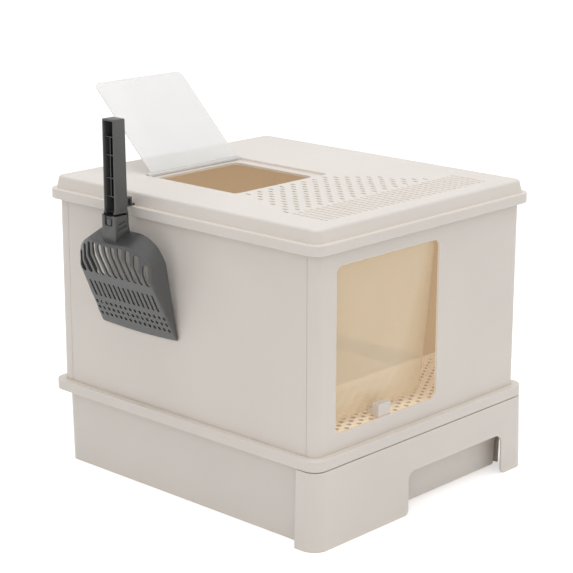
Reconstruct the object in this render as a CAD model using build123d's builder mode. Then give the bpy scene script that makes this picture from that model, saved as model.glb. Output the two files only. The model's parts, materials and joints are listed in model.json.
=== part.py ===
from build123d import *
import os
from math import atan, cos, degrees, radians, sin, sqrt, tan

os.makedirs("parts", exist_ok=True)

# Covered litter box: a base tray with a pull-out litter drawer, four wall panels, a lid with a top
# exit, a swing door in the front panel, and a litter scoop hung on the lid.
# Millimetres, Z up. The origin is on the floor under the middle of the base.
# The door and the drawer face -Y, and the scoop hangs on the -X side.

# Overall box
box_length = 470.0
box_width = 410.0
box_height = 386.0
flange_radius = 18.0
flange_reach = 10.0

# Fits between pieces
seat_gap = 0.3
seam_gap = 0.4
running_fit = 0.05

# Base tray
base_height = 113.0
base_flange = 14.0
base_flange_edge = 1.0
ring_wall = 2.7
web_thickness = 3.0
channel_depth = 9.0
rim_thickness = 3.0
rim_rise = 5.0
foot_inset = 15.0
wall_draft = 1.1
tray_wall = 3.0
tray_floor = 3.0
tray_radius = 13.0
mouth_inset = 28.0
floor_inset = 35.0

# Wall panels
panel_thickness = 3.0
panel_radius = 12.0
front_return = 14.0
back_return = 20.0
panel_headroom = 12.0
lap_overlap = 2.0
lap_width = 8.0
lap_thickness = 2.4
lap_clearance = 7.0

# Lid
lid_flange = 13.0
lid_skirt_height = 16.0
lid_ledge = 5.5
lid_skirt_lean = 4.0
lid_plate = 2.5
lid_flange_wall = 3.0
lid_radius = 14.0
lid_edge_radius = 3.8
lid_flange_edge = 1.2
lid_rib_depth = 24.0

# Litter mat pressed into the lid in front of the exit: a band of grooves, then staggered holes
mat_lines = 31
mat_pitch = 10.0
mat_front_inset = 34.0
mat_back_margin = 7.0
groove_length = 55.0
groove_width = 4.0
groove_depth = 0.8
hole_pitch = 20.0
hole_length = 9.0
hole_start = 6.0
mat_left_slope = 2.6
mat_right_slope = 1.08

# Top exit and its flap
exit_offset = -35.0
exit_width = 168.0
exit_back_inset = 93.0
exit_length = 166.0
exit_radius = 10.0
recess_radius = 4.0
exit_depth = 3.0
exit_floor_thickness = 3.0
exit_ledge_left = 7.0
exit_ledge_right = 15.0
exit_ledge_front = 11.0
exit_ledge_back = 14.0
exit_axis_inset = 6.0
exit_flap_gap = 9.0
exit_flap_angle = 44.0

# Flaps, their barrels, rods and clips
flap_thickness = 1.5
flap_corner = 9.0
barrel_radius = 2.6
rod_radius = 1.5
clip_radius = 3.0
clip_width = 5.0
clip_gap = 0.5
heel_width = 12.0
heel_thickness = 2.0
heel_clearance = 0.2

# Swing door
door_offset = -65.0
door_width = 188.0
door_sill_rise = 21.0
door_head = 37.0
door_radius = 9.0
door_edge = 1.2
door_axis_rise = 6.0
door_axis_inset = 3.5
door_flap_margin = 1.5
door_flap_lift = 3.0
door_lean = 5.5

# Door catch behind the sill
catch_offset = -1.75
catch_width = 22.5
catch_height = 16.0
catch_edge = 0.8
catch_depth = 10.0
catch_leg_depth = 3.6
catch_leg_drop = 12.0
catch_tongue_width = 12.0
catch_tongue_height = 4.5
catch_stop_gap = 0.2

# Entry grate inside the door
grate_rise = 12.0
grate_thickness = 3.0
grate_length = 120.0
grate_skirt = 15.0
grate_wall = 2.5
grate_gap = 0.8
grate_ear_length = 20.0
grate_ear_reach = 3.3
grate_hole_radius = 3.4
grate_hole_pitch = 22.5
grate_row_pitch = 12.6
grate_columns = 16
grate_rows = 8
grate_row_start = 7.0

# Litter drawer
drawer_gap = 1.2
drawer_wall = 2.8
skirt_flare = 2.5
skirt_edge = 1.0
skirt_return = 31.0
land_return = 26.5
drawer_ride = 1.2
runner_gap = 0.2
runner_width = 6.0
runner_offset = 150.0
tub_front_inset = 21.5
tub_side_clearance = 7.0
tub_back_clearance = 9.0
tub_draft = 2.2
tub_radius = 16.0
rim_overhang = 2.6
notch_offset = 59.5
notch_span = 191.0
notch_height = 55.0
notch_radius = 12.0
notch_foot_radius = 8.0

# Litter scoop, hung beside the lid
scoop_center = 70.0
handle_width = 21.0
handle_depth = 20.5
handle_standoff = 17.0
handle_rise = 103.0
handle_wall = 2.2
handle_radius = 1.0
rib_thickness = 1.5
rib_pitch = 24.5
rib_count = 4
rib_rise = 10.0
rib_setback = 3.0
socket_drop = 18.5
socket_depth = 18.0
socket_base = 0.3
socket_wall = 1.8
socket_ear = 4.0
socket_ear_width = 15.0
socket_back_clearance = 2.5
socket_notch_width = 14.0
socket_notch_depth = 9.0
latch_width = 6.4
latch_gap = 0.5
grip_width = 5.0
grip_length = 12.0
grip_depth = 1.0
grip_pitch = 9.0
bowl_standoff = 46.5
bowl_height = 131.8
bowl_wall = 1.8
bowl_half_width = 69.0
bowl_front_half_width = 65.0
bowl_bulge = 15.0
crown_radius = 44.0
lip_clearance = 2.0
lip_drop = 3.0
lip_thickness = 1.8
rim_lean = 9.4
roof_slope = 20.5
plate_lean = 25.8
plate_length = 88.0
plate_turn = 112.0
long_slots = 11
long_slot_pitch = 11.9
long_slot_width = 7.8
long_slot_start = 73.0
slot_land = 2.5
short_slots = 14
short_slot_pitch = 8.7
short_slot_width = 3.9
short_slot_start = 38.0
short_slot_end = 61.0
sieve_columns = 15
sieve_pitch = 8.8
sieve_rows = 3
sieve_row_pitch = 8.5
sieve_top_row = 28.8
sieve_hole_radius = 2.1

# Hook that carries the scoop
hook_width = 6.0
hook_offset = 6.0
hook_arm = 1.8
hook_reach = 7.0
hook_tip = 2.5
hook_rise = 9.5
tab_width = 9.0
tab_thickness = 2.5
tab_drop = 7.3
tab_gap = 2.5

# Places worked out from the sizes above
half_width = box_width / 2
half_length = box_length / 2
panel_x = half_width - flange_reach
panel_y = half_length - flange_reach
base_flange_bottom = base_height - base_flange
channel_floor = base_height - channel_depth
web_bottom = channel_floor - web_thickness
rim_top = base_height + rim_rise
grate_top = rim_top + grate_rise
door_sill = base_height + door_sill_rise
channel_outer_x = panel_x + seat_gap
channel_outer_y = panel_y + seat_gap
channel_inner_x = panel_x - panel_thickness - seat_gap
channel_inner_y = panel_y - panel_thickness - seat_gap
channel_inner_radius = panel_radius - panel_thickness
rim_inner_x = channel_inner_x - rim_thickness
rim_inner_y = channel_inner_y - rim_thickness
rim_inner_radius = channel_inner_radius - rim_thickness
foot_x = half_width - foot_inset
foot_y = half_length - foot_inset
mouth = mouth_inset - half_length
floor_front = floor_inset - half_length
floor_back = foot_y - tray_wall / 2
panel_top = box_height - panel_headroom
door_top = panel_top - door_head
front_seam = front_return - panel_y
back_seam = panel_y - back_return
panel_inner_x = panel_x - panel_thickness
panel_inner_y = panel_y - panel_thickness
lid_flange_top = box_height - lid_skirt_height
lid_flange_bottom = lid_flange_top - lid_flange
lid_under = box_height - lid_plate
lid_rib_bottom = box_height - lid_rib_depth
skirt_x = half_width - lid_ledge
skirt_y = half_length - lid_ledge
lid_taper = degrees(atan(lid_skirt_lean / lid_skirt_height))
exit_left = exit_offset - exit_width / 2
exit_right = exit_offset + exit_width / 2
exit_back = half_length - exit_back_inset
exit_front = exit_back - exit_length
exit_floor = box_height - exit_depth
exit_pan_bottom = exit_floor - exit_floor_thickness
opening_left = exit_left + exit_ledge_left
opening_right = exit_right - exit_ledge_right
mat_front = mat_front_inset - half_length
exit_axis = (exit_offset, exit_back - exit_axis_inset, exit_floor + clip_radius)
exit_flap_length = exit_axis[1] - exit_front - exit_flap_gap
exit_clip_left = exit_left + clip_gap
exit_clip_right = exit_right - clip_gap - clip_width
exit_flap_left = exit_clip_left + clip_width + clip_gap
exit_flap_right = exit_clip_right - clip_gap
door_left = door_offset - door_width / 2
door_right = door_offset + door_width / 2
door_axis = (door_offset, door_axis_inset - panel_inner_y, door_top + door_axis_rise)
door_flap_length = (door_axis[2] - door_sill - door_flap_lift) / cos(radians(door_lean))
door_flap_left = door_left + door_flap_margin
door_flap_right = door_right - door_flap_margin
door_clip_left = door_flap_left - clip_gap - clip_width
door_clip_right = door_flap_right + clip_gap
drawer_top = base_flange_bottom - drawer_gap
skirt_taper = degrees(atan(skirt_flare / drawer_top))
notch_left = notch_offset - notch_span / 2
notch_right = notch_offset + notch_span / 2
tub_bottom = tray_floor + drawer_ride
tub_x = foot_x - tray_wall - tub_side_clearance
tub_front = tub_front_inset - half_length
tub_back = foot_y - tray_wall - tub_back_clearance
tub_middle = (tub_front + tub_back) / 2
tub_y = (tub_back - tub_front) / 2
tub_spread = (drawer_top - tub_bottom) * tan(radians(tub_draft))
hook_top = lid_flange_top + hook_rise
hook_end = -(half_width + hook_reach)
hook_middle = scoop_center + hook_offset
hook_low = hook_middle - hook_width / 2
hook_high = hook_middle + hook_width / 2
tab_front = hook_end + hook_tip + tab_gap
handle_back = -half_width - handle_standoff
handle_front = handle_back - handle_depth
handle_top = hook_top + handle_rise
first_rib = hook_top + rib_rise
socket_top = hook_top - socket_drop
socket_floor = socket_top - socket_depth
bowl_top = socket_floor - socket_base
bowl_front = -half_width - bowl_standoff
lip_height = bowl_top - bowl_height
lip_x = -panel_x - lip_clearance
plate_x = lip_x - lip_thickness - plate_length * tan(radians(plate_lean))
rim_x = lip_x - (bowl_top - lip_height) * tan(radians(rim_lean))
toe_rise = -lip_thickness / (tan(radians(plate_lean)) - tan(radians(rim_lean)))
toe_x = lip_x - toe_rise * tan(radians(rim_lean))
crown_half_width = bowl_half_width - crown_radius
roof_cos = cos(radians(roof_slope))
roof_sin = sin(radians(roof_slope))
lip_reach = (lip_x - rim_x) * roof_sin + bowl_height * roof_cos
scoop_face = Plane(origin=(2 * bowl_front, scoop_center, 0), x_dir=(0, 1, 0), z_dir=(1, 0, 0))
crown_face = Plane(origin=(rim_x, scoop_center, bowl_top), x_dir=(0, 1, 0), z_dir=(roof_cos, 0, roof_sin))
socket_front = handle_front - seat_gap - socket_wall
socket_half_width = handle_width / 2 + seat_gap + socket_wall
socket_back = handle_back - socket_back_clearance


def slab(half_x, half_y, radius, low, high, mode=Mode.ADD, taper=0.0, center_y=0.0):
    """A block with rounded upright corners between two heights."""
    with BuildSketch(Plane.XY.offset(low)) as outline:
        with Locations((0, center_y)):
            RectangleRounded(2 * half_x, 2 * half_y, radius)
    extrude(outline.sketch, amount=high - low, taper=taper, mode=mode)


def block(x_range, y_range, z_range, mode=Mode.ADD):
    """A plain block between two places on each axis."""
    with Locations(tuple((low + high) / 2 for low, high in (x_range, y_range, z_range))):
        Box(*(high - low for low, high in (x_range, y_range, z_range)), mode=mode)


def pool(x_range, y_range, radius, low, high, mode=Mode.SUBTRACT):
    """A hollow with rounded upright corners between two places on each axis."""
    with BuildSketch(Plane.XY.offset(low)) as outline:
        with Locations((sum(x_range) / 2, sum(y_range) / 2)):
            RectangleRounded(x_range[1] - x_range[0], y_range[1] - y_range[0], radius)
    extrude(outline.sketch, amount=high - low, mode=mode)


def bar(x_low, x_high, axis, radius, mode=Mode.ADD):
    """A round bar along X on an axis given as (x, y, z)."""
    with BuildSketch(Plane.YZ.offset(x_low)) as outline:
        with Locations((axis[1], axis[2])):
            Circle(radius)
    extrude(outline.sketch, amount=x_high - x_low, mode=mode)


def hinge_clip(x_low, axis, foot_y, foot_z):
    """A clip that holds one end of a hinge rod, with a foot against the wall it sits on."""
    bar(x_low, x_low + clip_width, axis, clip_radius)
    block((x_low, x_low + clip_width), foot_y, foot_z)
    bar(x_low, x_low + clip_width, axis, rod_radius + running_fit, mode=Mode.SUBTRACT)


def flap(left, right, axis, angle, length, lift):
    """A sheet on a barrel along X, rising at an angle from +Y, its free corners rounded."""
    normal = (0, -sin(radians(angle)), cos(radians(angle)))
    with BuildSketch(Plane(origin=axis, x_dir=(1, 0, 0), z_dir=normal).offset(lift)) as sheet:
        with Locations((0, length / 2)):
            Rectangle(right - left, length)
        fillet(sheet.vertices().group_by(Axis.Y)[-1], flap_corner)
    extrude(sheet.sketch, amount=flap_thickness / 2, both=True)
    bar(left, right, axis, barrel_radius)
    bar(left, right, axis, rod_radius + running_fit, mode=Mode.SUBTRACT)


def wall_ring(low, high):
    """The closed ring of the four wall panels, before it is parted at the seams."""
    slab(panel_x, panel_y, panel_radius, low, high)
    slab(panel_inner_x, panel_inner_y, channel_inner_radius, low, high, mode=Mode.SUBTRACT)


def side_panel(side):
    """A flat side wall with a lap strip behind each seam; side is -1 or 1 along X."""
    outer = side * panel_x
    inner = side * panel_inner_x
    lap_outer = side * (panel_inner_x - seat_gap)
    lap_inner = side * (panel_inner_x - lap_thickness)
    front = front_seam + seam_gap
    back = back_seam - seam_gap
    heights = (rim_top + lap_clearance, lid_rib_bottom - lap_clearance)
    block(sorted((inner, outer)), (front, back), (channel_floor, panel_top))
    for edge, reach in ((front, front_seam - lap_overlap), (back, back_seam + lap_overlap)):
        root = edge + lap_width if edge < 0 else edge - lap_width
        block(sorted((lap_inner, lap_outer)), sorted((root, reach)), heights)
        block(sorted((lap_inner, inner)), sorted((root, edge)), heights)


def roof_height(x):
    """Height of the sloping roof of the scoop bowl on its middle plane, at a place along X."""
    return bowl_top - (rim_x - x) * tan(radians(roof_slope))


def bowl_body(inset):
    """The solid of the scoop bowl, drawn in from its outer faces by an inset, open side kept clear."""
    shift = inset / cos(radians(plate_lean))
    drop = inset / roof_cos
    front = bowl_front + inset
    with BuildSketch(Plane.XZ.offset(-scoop_center)) as profile:
        with BuildLine():
            plate = Line((toe_x + shift, lip_height + toe_rise), (plate_x + shift, lip_height + plate_length))
            turn = Spline(plate @ 1, (front, lip_height + plate_turn), tangents=(plate % 1, (0, 1)))
            Polyline(
                turn @ 1, (front, roof_height(front) - drop),
                (rim_x + shift, roof_height(rim_x + shift) - drop), plate @ 0,
            )
        make_face()
    extrude(profile.sketch, amount=bowl_half_width, both=True)
    side = bowl_half_width - inset
    with BuildSketch(crown_face) as outline:
        with BuildLine():
            edge = ThreePointArc((-side, -lip_reach), (0, -lip_reach - lip_drop), (side, -lip_reach))
            Line(edge @ 1, (side, -crown_radius))
            CenterArc((crown_half_width, -crown_radius), crown_radius - inset, 0, 90)
            Line((crown_half_width, -inset), (-crown_half_width, -inset))
            CenterArc((-crown_half_width, -crown_radius), crown_radius - inset, 90, 90)
            Line((-side, -crown_radius), edge @ 0)
        make_face()
    extrude(outline.sketch, amount=-2 * bowl_front, both=True, mode=Mode.INTERSECT)
    corner = (front + bowl_bulge, bowl_front_half_width - inset)
    with BuildSketch(Plane((0, scoop_center, lip_height - bowl_height))) as plan:
        with BuildLine():
            bulge = ThreePointArc((corner[0], -corner[1]), (front, 0), corner)
            Polyline(bulge @ 1, (lip_x, side), (lip_x, -side), bulge @ 0)
        make_face()
    extrude(plan.sketch, amount=3 * bowl_height, mode=Mode.INTERSECT)


def row(count, pitch):
    """Places of a row of equal steps, centred on zero."""
    return [(number - (count - 1) / 2) * pitch for number in range(count)]


def crease_height(offset):
    """Height of the crease above the long slots of the scoop, at a distance from its middle."""
    reach = max(offset - crown_half_width, 0)
    bulge = bowl_bulge * (offset / bowl_front_half_width) ** 2
    return roof_height(bowl_front + bulge) - (crown_radius - sqrt(crown_radius ** 2 - reach ** 2)) / roof_cos


def save(piece, name):
    """Label a piece and write it under its name."""
    piece.part.label = name
    export_step(piece.part, f"parts/{name}.step")


# Base tray: a housing open at the front, under a flange with a channel for the wall panels
with BuildPart() as base_tray:
    slab(half_width, half_length, flange_radius, base_flange_bottom, base_height)
    fillet(base_tray.edges().group_by(Axis.Z)[-1] + base_tray.edges().group_by(Axis.Z)[0], base_flange_edge)
    slab(
        half_width - ring_wall, half_length - ring_wall, flange_radius - ring_wall,
        base_flange_bottom, base_height - ring_wall, mode=Mode.SUBTRACT,
    )
    slab(foot_x, foot_y, tray_radius, 0, web_bottom, taper=-wall_draft)
    slab(
        foot_x - tray_wall, foot_y - tray_wall, tray_radius - tray_wall, 0, web_bottom,
        mode=Mode.SUBTRACT, taper=-wall_draft,
    )
    block((-foot_x - tray_wall, foot_x + tray_wall), (-foot_y - tray_wall, mouth), (0, web_bottom),
          mode=Mode.SUBTRACT)
    slab(
        channel_outer_x + ring_wall, channel_outer_y + ring_wall, panel_radius + ring_wall,
        web_bottom, base_height,
    )
    slab(channel_outer_x, channel_outer_y, panel_radius, channel_floor, base_height, mode=Mode.SUBTRACT)
    slab(channel_inner_x, channel_inner_y, channel_inner_radius, channel_floor, rim_top)
    slab(rim_inner_x, rim_inner_y, rim_inner_radius, web_bottom, rim_top, mode=Mode.SUBTRACT)
    slab(
        foot_x - tray_wall / 2, (floor_back - floor_front) / 2, tray_radius - tray_wall / 2,
        0, tray_floor, center_y=(floor_front + floor_back) / 2,
    )
save(base_tray, "base_tray")

# Litter drawer: a tub behind a flared front skirt with a wide hand notch
with BuildPart() as drawer_tray:
    slab(
        half_width + skirt_flare, half_length + skirt_flare, flange_radius + skirt_flare,
        0, drawer_top, taper=skirt_taper,
    )
    fillet(drawer_tray.edges().group_by(Axis.Z)[-1], skirt_edge)
    block(
        (-half_width - flange_reach, half_width + flange_reach),
        (skirt_return - half_length, half_length + flange_reach),
        (0, drawer_top), mode=Mode.SUBTRACT,
    )
    slab(
        half_width + skirt_flare - drawer_wall, half_length + skirt_flare - drawer_wall,
        flange_radius + skirt_flare - drawer_wall, 0, drawer_top - drawer_wall,
        mode=Mode.SUBTRACT, taper=skirt_taper,
    )
    block(
        (drawer_wall - half_width, half_width - drawer_wall),
        (land_return - half_length, skirt_return - half_length),
        (drawer_top - drawer_wall, drawer_top), mode=Mode.SUBTRACT,
    )
    block(
        (notch_left, notch_right), (-half_length - flange_reach, tub_front), (0, notch_height),
        mode=Mode.SUBTRACT,
    )
    notch_corners = drawer_tray.edges().filter_by(Axis.Y).filter_by_position(
        Axis.X, notch_left - 1, notch_right + 1
    )
    fillet(notch_corners.group_by(Axis.Z)[-1], notch_radius)
    notch_feet = drawer_tray.edges().filter_by(Axis.Y).filter_by_position(
        Axis.X, notch_left - 1, notch_right + 1
    ).filter_by_position(Axis.Z, -1, 1)
    fillet(notch_feet, notch_foot_radius)
    slab(tub_x, tub_y, tub_radius, tub_bottom, drawer_top, taper=-tub_draft, center_y=tub_middle)
    slab(
        tub_x + tub_spread + rim_overhang, tub_y + tub_spread + rim_overhang, tub_radius + rim_overhang,
        drawer_top - drawer_wall, drawer_top, center_y=tub_middle,
    )
    slab(
        tub_x - drawer_wall, tub_y - drawer_wall, tub_radius - drawer_wall,
        tub_bottom + drawer_wall, drawer_top, mode=Mode.SUBTRACT, taper=-tub_draft, center_y=tub_middle,
    )
    for middle in (-runner_offset, runner_offset):
        block(
            (middle - runner_width / 2, middle + runner_width / 2),
            (floor_front, tub_back - tub_radius),
            (tray_floor + runner_gap, tub_bottom),
        )
save(drawer_tray, "drawer_tray")

# Wall panels, standing in the channel of the base tray
with BuildPart() as front_panel:
    wall_ring(channel_floor, panel_top)
    block((-panel_x, panel_x), (front_seam, panel_y), (channel_floor, panel_top), mode=Mode.SUBTRACT)
    with BuildSketch(Plane.XZ.offset(panel_inner_y)) as doorway:
        with Locations((door_offset, (door_sill + door_top) / 2)):
            RectangleRounded(door_width, door_top - door_sill, door_radius)
    extrude(doorway.sketch, amount=panel_thickness, mode=Mode.SUBTRACT)
    doorway_edges = front_panel.edges().filter_by_position(Axis.Y, -panel_y - seat_gap, seat_gap - panel_y)
    fillet(
        doorway_edges.filter_by_position(Axis.X, door_left - 1, door_right + 1)
        .filter_by_position(Axis.Z, door_sill - 1, door_top + 1),
        door_edge,
    )
save(front_panel, "front_panel")

with BuildPart() as back_panel:
    wall_ring(channel_floor, panel_top)
    block((-panel_x, panel_x), (-panel_y, back_seam), (channel_floor, panel_top), mode=Mode.SUBTRACT)
save(back_panel, "back_panel")

with BuildPart() as left_panel:
    side_panel(-1)
save(left_panel, "left_panel")

with BuildPart() as right_panel:
    side_panel(1)
save(right_panel, "right_panel")

# Entry grate: a perforated step behind the sill, resting on the rim of the base tray by four ears
grate_x = rim_inner_x - grate_gap
grate_front = grate_gap - rim_inner_y
grate_back = grate_front + grate_length
grate_middle = (grate_front + grate_back) / 2
with BuildPart() as entry_grate:
    slab(
        grate_x, grate_length / 2, rim_inner_radius, grate_top - grate_skirt, grate_top,
        center_y=grate_middle,
    )
    slab(
        grate_x - grate_wall, grate_length / 2 - grate_wall, rim_inner_radius - grate_wall,
        grate_top - grate_skirt, grate_top - grate_thickness, mode=Mode.SUBTRACT, center_y=grate_middle,
    )
    for side in (-1, 1):
        for start in (grate_front + grate_ear_length, grate_back - 2 * grate_ear_length):
            block(
                sorted((side * (grate_x - grate_wall), side * (grate_x + grate_ear_reach))),
                (start, start + grate_ear_length),
                (rim_top, rim_top + grate_thickness),
            )
    row_middle = grate_front + grate_row_start + grate_row_pitch * (grate_rows - 1) / 2
    with BuildSketch(Plane.XY.offset(grate_top)) as grate_holes:
        with Locations((0, row_middle)):
            with GridLocations(grate_hole_pitch, grate_row_pitch, grate_columns, grate_rows):
                Circle(grate_hole_radius)
        with Locations((0, row_middle + grate_row_pitch / 2)):
            with GridLocations(grate_hole_pitch, grate_row_pitch, grate_columns - 1, grate_rows):
                Circle(grate_hole_radius)
    extrude(grate_holes.sketch, amount=-grate_thickness, mode=Mode.SUBTRACT)
save(entry_grate, "entry_grate")

# Swing door: a clear flap on a rod between two clips, and the catch it leans against
door_flap_bottom = door_axis[2] - door_flap_length * cos(radians(door_lean))
catch_stop_height = door_sill + catch_tongue_height
catch_stop = (
    door_axis[1] + (door_axis[2] - catch_stop_height) * tan(radians(door_lean))
    - flap_thickness / 2 / cos(radians(door_lean)) - catch_stop_gap
)
with BuildPart() as door_flap:
    flap(door_flap_left, door_flap_right, door_axis, door_lean - 90, door_flap_length, 0)
save(door_flap, "door_flap")

door_clip_foot = ((-panel_inner_y, door_axis[1]), (door_axis[2] - clip_radius, door_axis[2] + clip_radius))
with BuildPart() as door_hinge_clip_left:
    hinge_clip(door_clip_left, door_axis, *door_clip_foot)
save(door_hinge_clip_left, "door_hinge_clip_left")

with BuildPart() as door_hinge_clip_right:
    hinge_clip(door_clip_right, door_axis, *door_clip_foot)
save(door_hinge_clip_right, "door_hinge_clip_right")

with BuildPart() as door_hinge_rod:
    bar(door_clip_left, door_clip_right + clip_width, door_axis, rod_radius)
save(door_hinge_rod, "door_hinge_rod")

catch_front = -panel_inner_y
catch_middle = door_offset + catch_offset
catch_x = (catch_middle - catch_width / 2, catch_middle + catch_width / 2)
with BuildPart() as door_catch:
    block(catch_x, (catch_front, catch_front + catch_depth), (door_sill, door_sill + catch_height))
    fillet(door_catch.edges().filter_by(Axis.Y, reverse=True).group_by(Axis.Y)[0], catch_edge)
    block(catch_x, (catch_front, catch_front + catch_leg_depth), (door_sill - catch_leg_drop, door_sill))
    block((catch_middle - catch_tongue_width / 2, catch_middle + catch_tongue_width / 2),
          (catch_front + catch_depth, catch_stop), (door_sill, catch_stop_height))
save(door_catch, "door_catch")

# Lid: a flange over the wall panels, a leaning skirt, a rib inside the walls and the exit recess
with BuildPart() as lid:
    slab(half_width, half_length, flange_radius, lid_flange_bottom, lid_flange_top)
    fillet(lid.edges().group_by(Axis.Z)[-1] + lid.edges().group_by(Axis.Z)[0], lid_flange_edge)
    slab(skirt_x, skirt_y, lid_radius, lid_flange_top, box_height, taper=lid_taper)
    fillet(lid.edges().group_by(Axis.Z)[-1], lid_edge_radius)
    slab(
        half_width - lid_flange_wall, half_length - lid_flange_wall, flange_radius - lid_flange_wall,
        lid_flange_bottom, lid_flange_top - lid_plate, mode=Mode.SUBTRACT,
    )
    slab(
        skirt_x - lid_plate, skirt_y - lid_plate, lid_radius - lid_plate,
        lid_flange_top - lid_plate, lid_under, mode=Mode.SUBTRACT, taper=lid_taper,
    )
    slab(panel_x, panel_y, panel_radius, panel_top, lid_under)
    slab(channel_inner_x, channel_inner_y, channel_inner_radius, lid_rib_bottom, panel_top)
    slab(rim_inner_x, rim_inner_y, rim_inner_radius, lid_rib_bottom, lid_under, mode=Mode.SUBTRACT)
    pool(
        (exit_left - lid_plate, exit_right + lid_plate), (exit_front - lid_plate, exit_back + lid_plate),
        recess_radius + lid_plate, exit_pan_bottom, lid_under, mode=Mode.ADD,
    )
    pool((exit_left, exit_right), (exit_front, exit_back), recess_radius, exit_floor, box_height)
    pool(
        (opening_left, opening_right), (exit_front + exit_ledge_front, exit_back - exit_ledge_back),
        exit_radius, exit_pan_bottom, exit_floor,
    )
    with BuildSketch(Plane.XY.offset(box_height)) as grooves:
        for x in row(mat_lines, mat_pitch):
            with Locations((x, mat_front + groove_length / 2)):
                SlotOverall(groove_length, groove_width, rotation=90)
    extrude(grooves.sketch, amount=-groove_depth, mode=Mode.SUBTRACT)
    with BuildSketch(Plane.XY.offset(box_height)) as holes:
        for number, x in enumerate(row(mat_lines, mat_pitch)):
            reach = max((opening_left - x) * mat_left_slope, (x - opening_right) * mat_right_slope, 0)
            start = mat_front + groove_length + hole_start + (number % 2) * hole_pitch / 2
            room = exit_front - mat_back_margin - reach - start
            for place in range(max(0, int((room - hole_length) // hole_pitch) + 1)):
                with Locations((x, start + hole_length / 2 + place * hole_pitch)):
                    SlotOverall(hole_length, groove_width, rotation=90)
    extrude(holes.sketch, amount=-lid_plate, mode=Mode.SUBTRACT)
    block(
        (-skirt_x, -panel_x), (hook_low - seat_gap, hook_high + seat_gap),
        (lid_flange_top, lid_flange_top + hook_arm + seat_gap), mode=Mode.SUBTRACT,
    )
save(lid, "lid")

# Top exit flap, folded back on a rod between two clips, its heels against the end of the recess
with BuildPart() as exit_flap:
    flap(
        exit_flap_left, exit_flap_right, exit_axis, exit_flap_angle, exit_flap_length,
        barrel_radius - flap_thickness / 2,
    )
    for left in (exit_flap_left, exit_flap_right - heel_width):
        block(
            (left, left + heel_width),
            (exit_axis[1] + rod_radius + clip_gap, exit_back - heel_clearance),
            (exit_axis[2] - heel_thickness / 2, exit_axis[2] + heel_thickness / 2),
        )
save(exit_flap, "exit_flap")

exit_clip_foot = ((exit_axis[1] - clip_radius, exit_axis[1] + clip_radius), (exit_floor, exit_axis[2]))
with BuildPart() as exit_hinge_clip_left:
    hinge_clip(exit_clip_left, exit_axis, *exit_clip_foot)
save(exit_hinge_clip_left, "exit_hinge_clip_left")

with BuildPart() as exit_hinge_clip_right:
    hinge_clip(exit_clip_right, exit_axis, *exit_clip_foot)
save(exit_hinge_clip_right, "exit_hinge_clip_right")

with BuildPart() as exit_hinge_rod:
    bar(exit_clip_left, exit_clip_right + clip_width, exit_axis, rod_radius)
save(exit_hinge_rod, "exit_hinge_rod")

# Hook: an arm through the skirt of the lid, with an upturned tip
with BuildPart() as scoop_hook:
    block((hook_end, -panel_x - seat_gap), (hook_low, hook_high), (lid_flange_top, lid_flange_top + hook_arm))
    block((hook_end, hook_end + hook_tip), (hook_low, hook_high), (lid_flange_top, hook_top))
save(scoop_hook, "scoop_hook")

# Scoop head: a sieve plate rolled over into a roof, closed at the sides, with the handle socket
with BuildPart() as bowl_hollow:
    bowl_body(bowl_wall)

with BuildPart() as scoop_head:
    bowl_body(0)
    with BuildSketch(Plane.XZ.offset(-scoop_center)) as socket_profile:
        with BuildLine():
            Polyline(
                (rim_x, bowl_top - bowl_wall / 2), (socket_front, roof_height(socket_front) - bowl_wall / 2),
                (socket_front, socket_top), (socket_front + socket_ear_width, socket_top + socket_ear),
                (socket_back, socket_top), (rim_x, bowl_top - bowl_wall / 2),
            )
        make_face()
    extrude(socket_profile.sketch, amount=socket_half_width, both=True)
    add(bowl_hollow.part, mode=Mode.SUBTRACT)
    block(
        (handle_front - seat_gap, handle_back + seat_gap),
        (scoop_center - handle_width / 2 - seat_gap, scoop_center + handle_width / 2 + seat_gap),
        (socket_floor, socket_top + socket_ear), mode=Mode.SUBTRACT,
    )
    block(
        (socket_front, handle_front - seat_gap),
        (scoop_center - socket_notch_width / 2, scoop_center + socket_notch_width / 2),
        (socket_top - socket_notch_depth, socket_top), mode=Mode.SUBTRACT,
    )
    for side in (-1, 1):
        for start in (0, grip_pitch):
            grip_front = socket_front + socket_wall + start
            block(
                (grip_front, grip_front + grip_width),
                sorted((scoop_center + side * socket_half_width,
                        scoop_center + side * (socket_half_width - grip_depth))),
                (socket_floor, socket_floor + grip_length), mode=Mode.SUBTRACT,
            )
    with BuildSketch(scoop_face) as sieve:
        for y in row(long_slots, long_slot_pitch):
            start = lip_height + long_slot_start
            end = crease_height(abs(y) + long_slot_width / 2) - slot_land
            with Locations((y, (start + end) / 2)):
                SlotOverall(end - start, long_slot_width, rotation=90)
        for y in row(short_slots, short_slot_pitch):
            with Locations((y, lip_height + (short_slot_start + short_slot_end) / 2)):
                SlotOverall(short_slot_end - short_slot_start, short_slot_width, rotation=90)
        sieve_middle = sieve_top_row - sieve_row_pitch * (sieve_rows - 1) / 2
        with Locations((0, lip_height + sieve_middle)):
            with GridLocations(sieve_pitch, sieve_row_pitch, sieve_columns, sieve_rows):
                Circle(sieve_hole_radius)
    extrude(sieve.sketch, amount=lip_x - 2 * bowl_front, mode=Mode.SUBTRACT)
save(scoop_head, "scoop_head")

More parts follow.
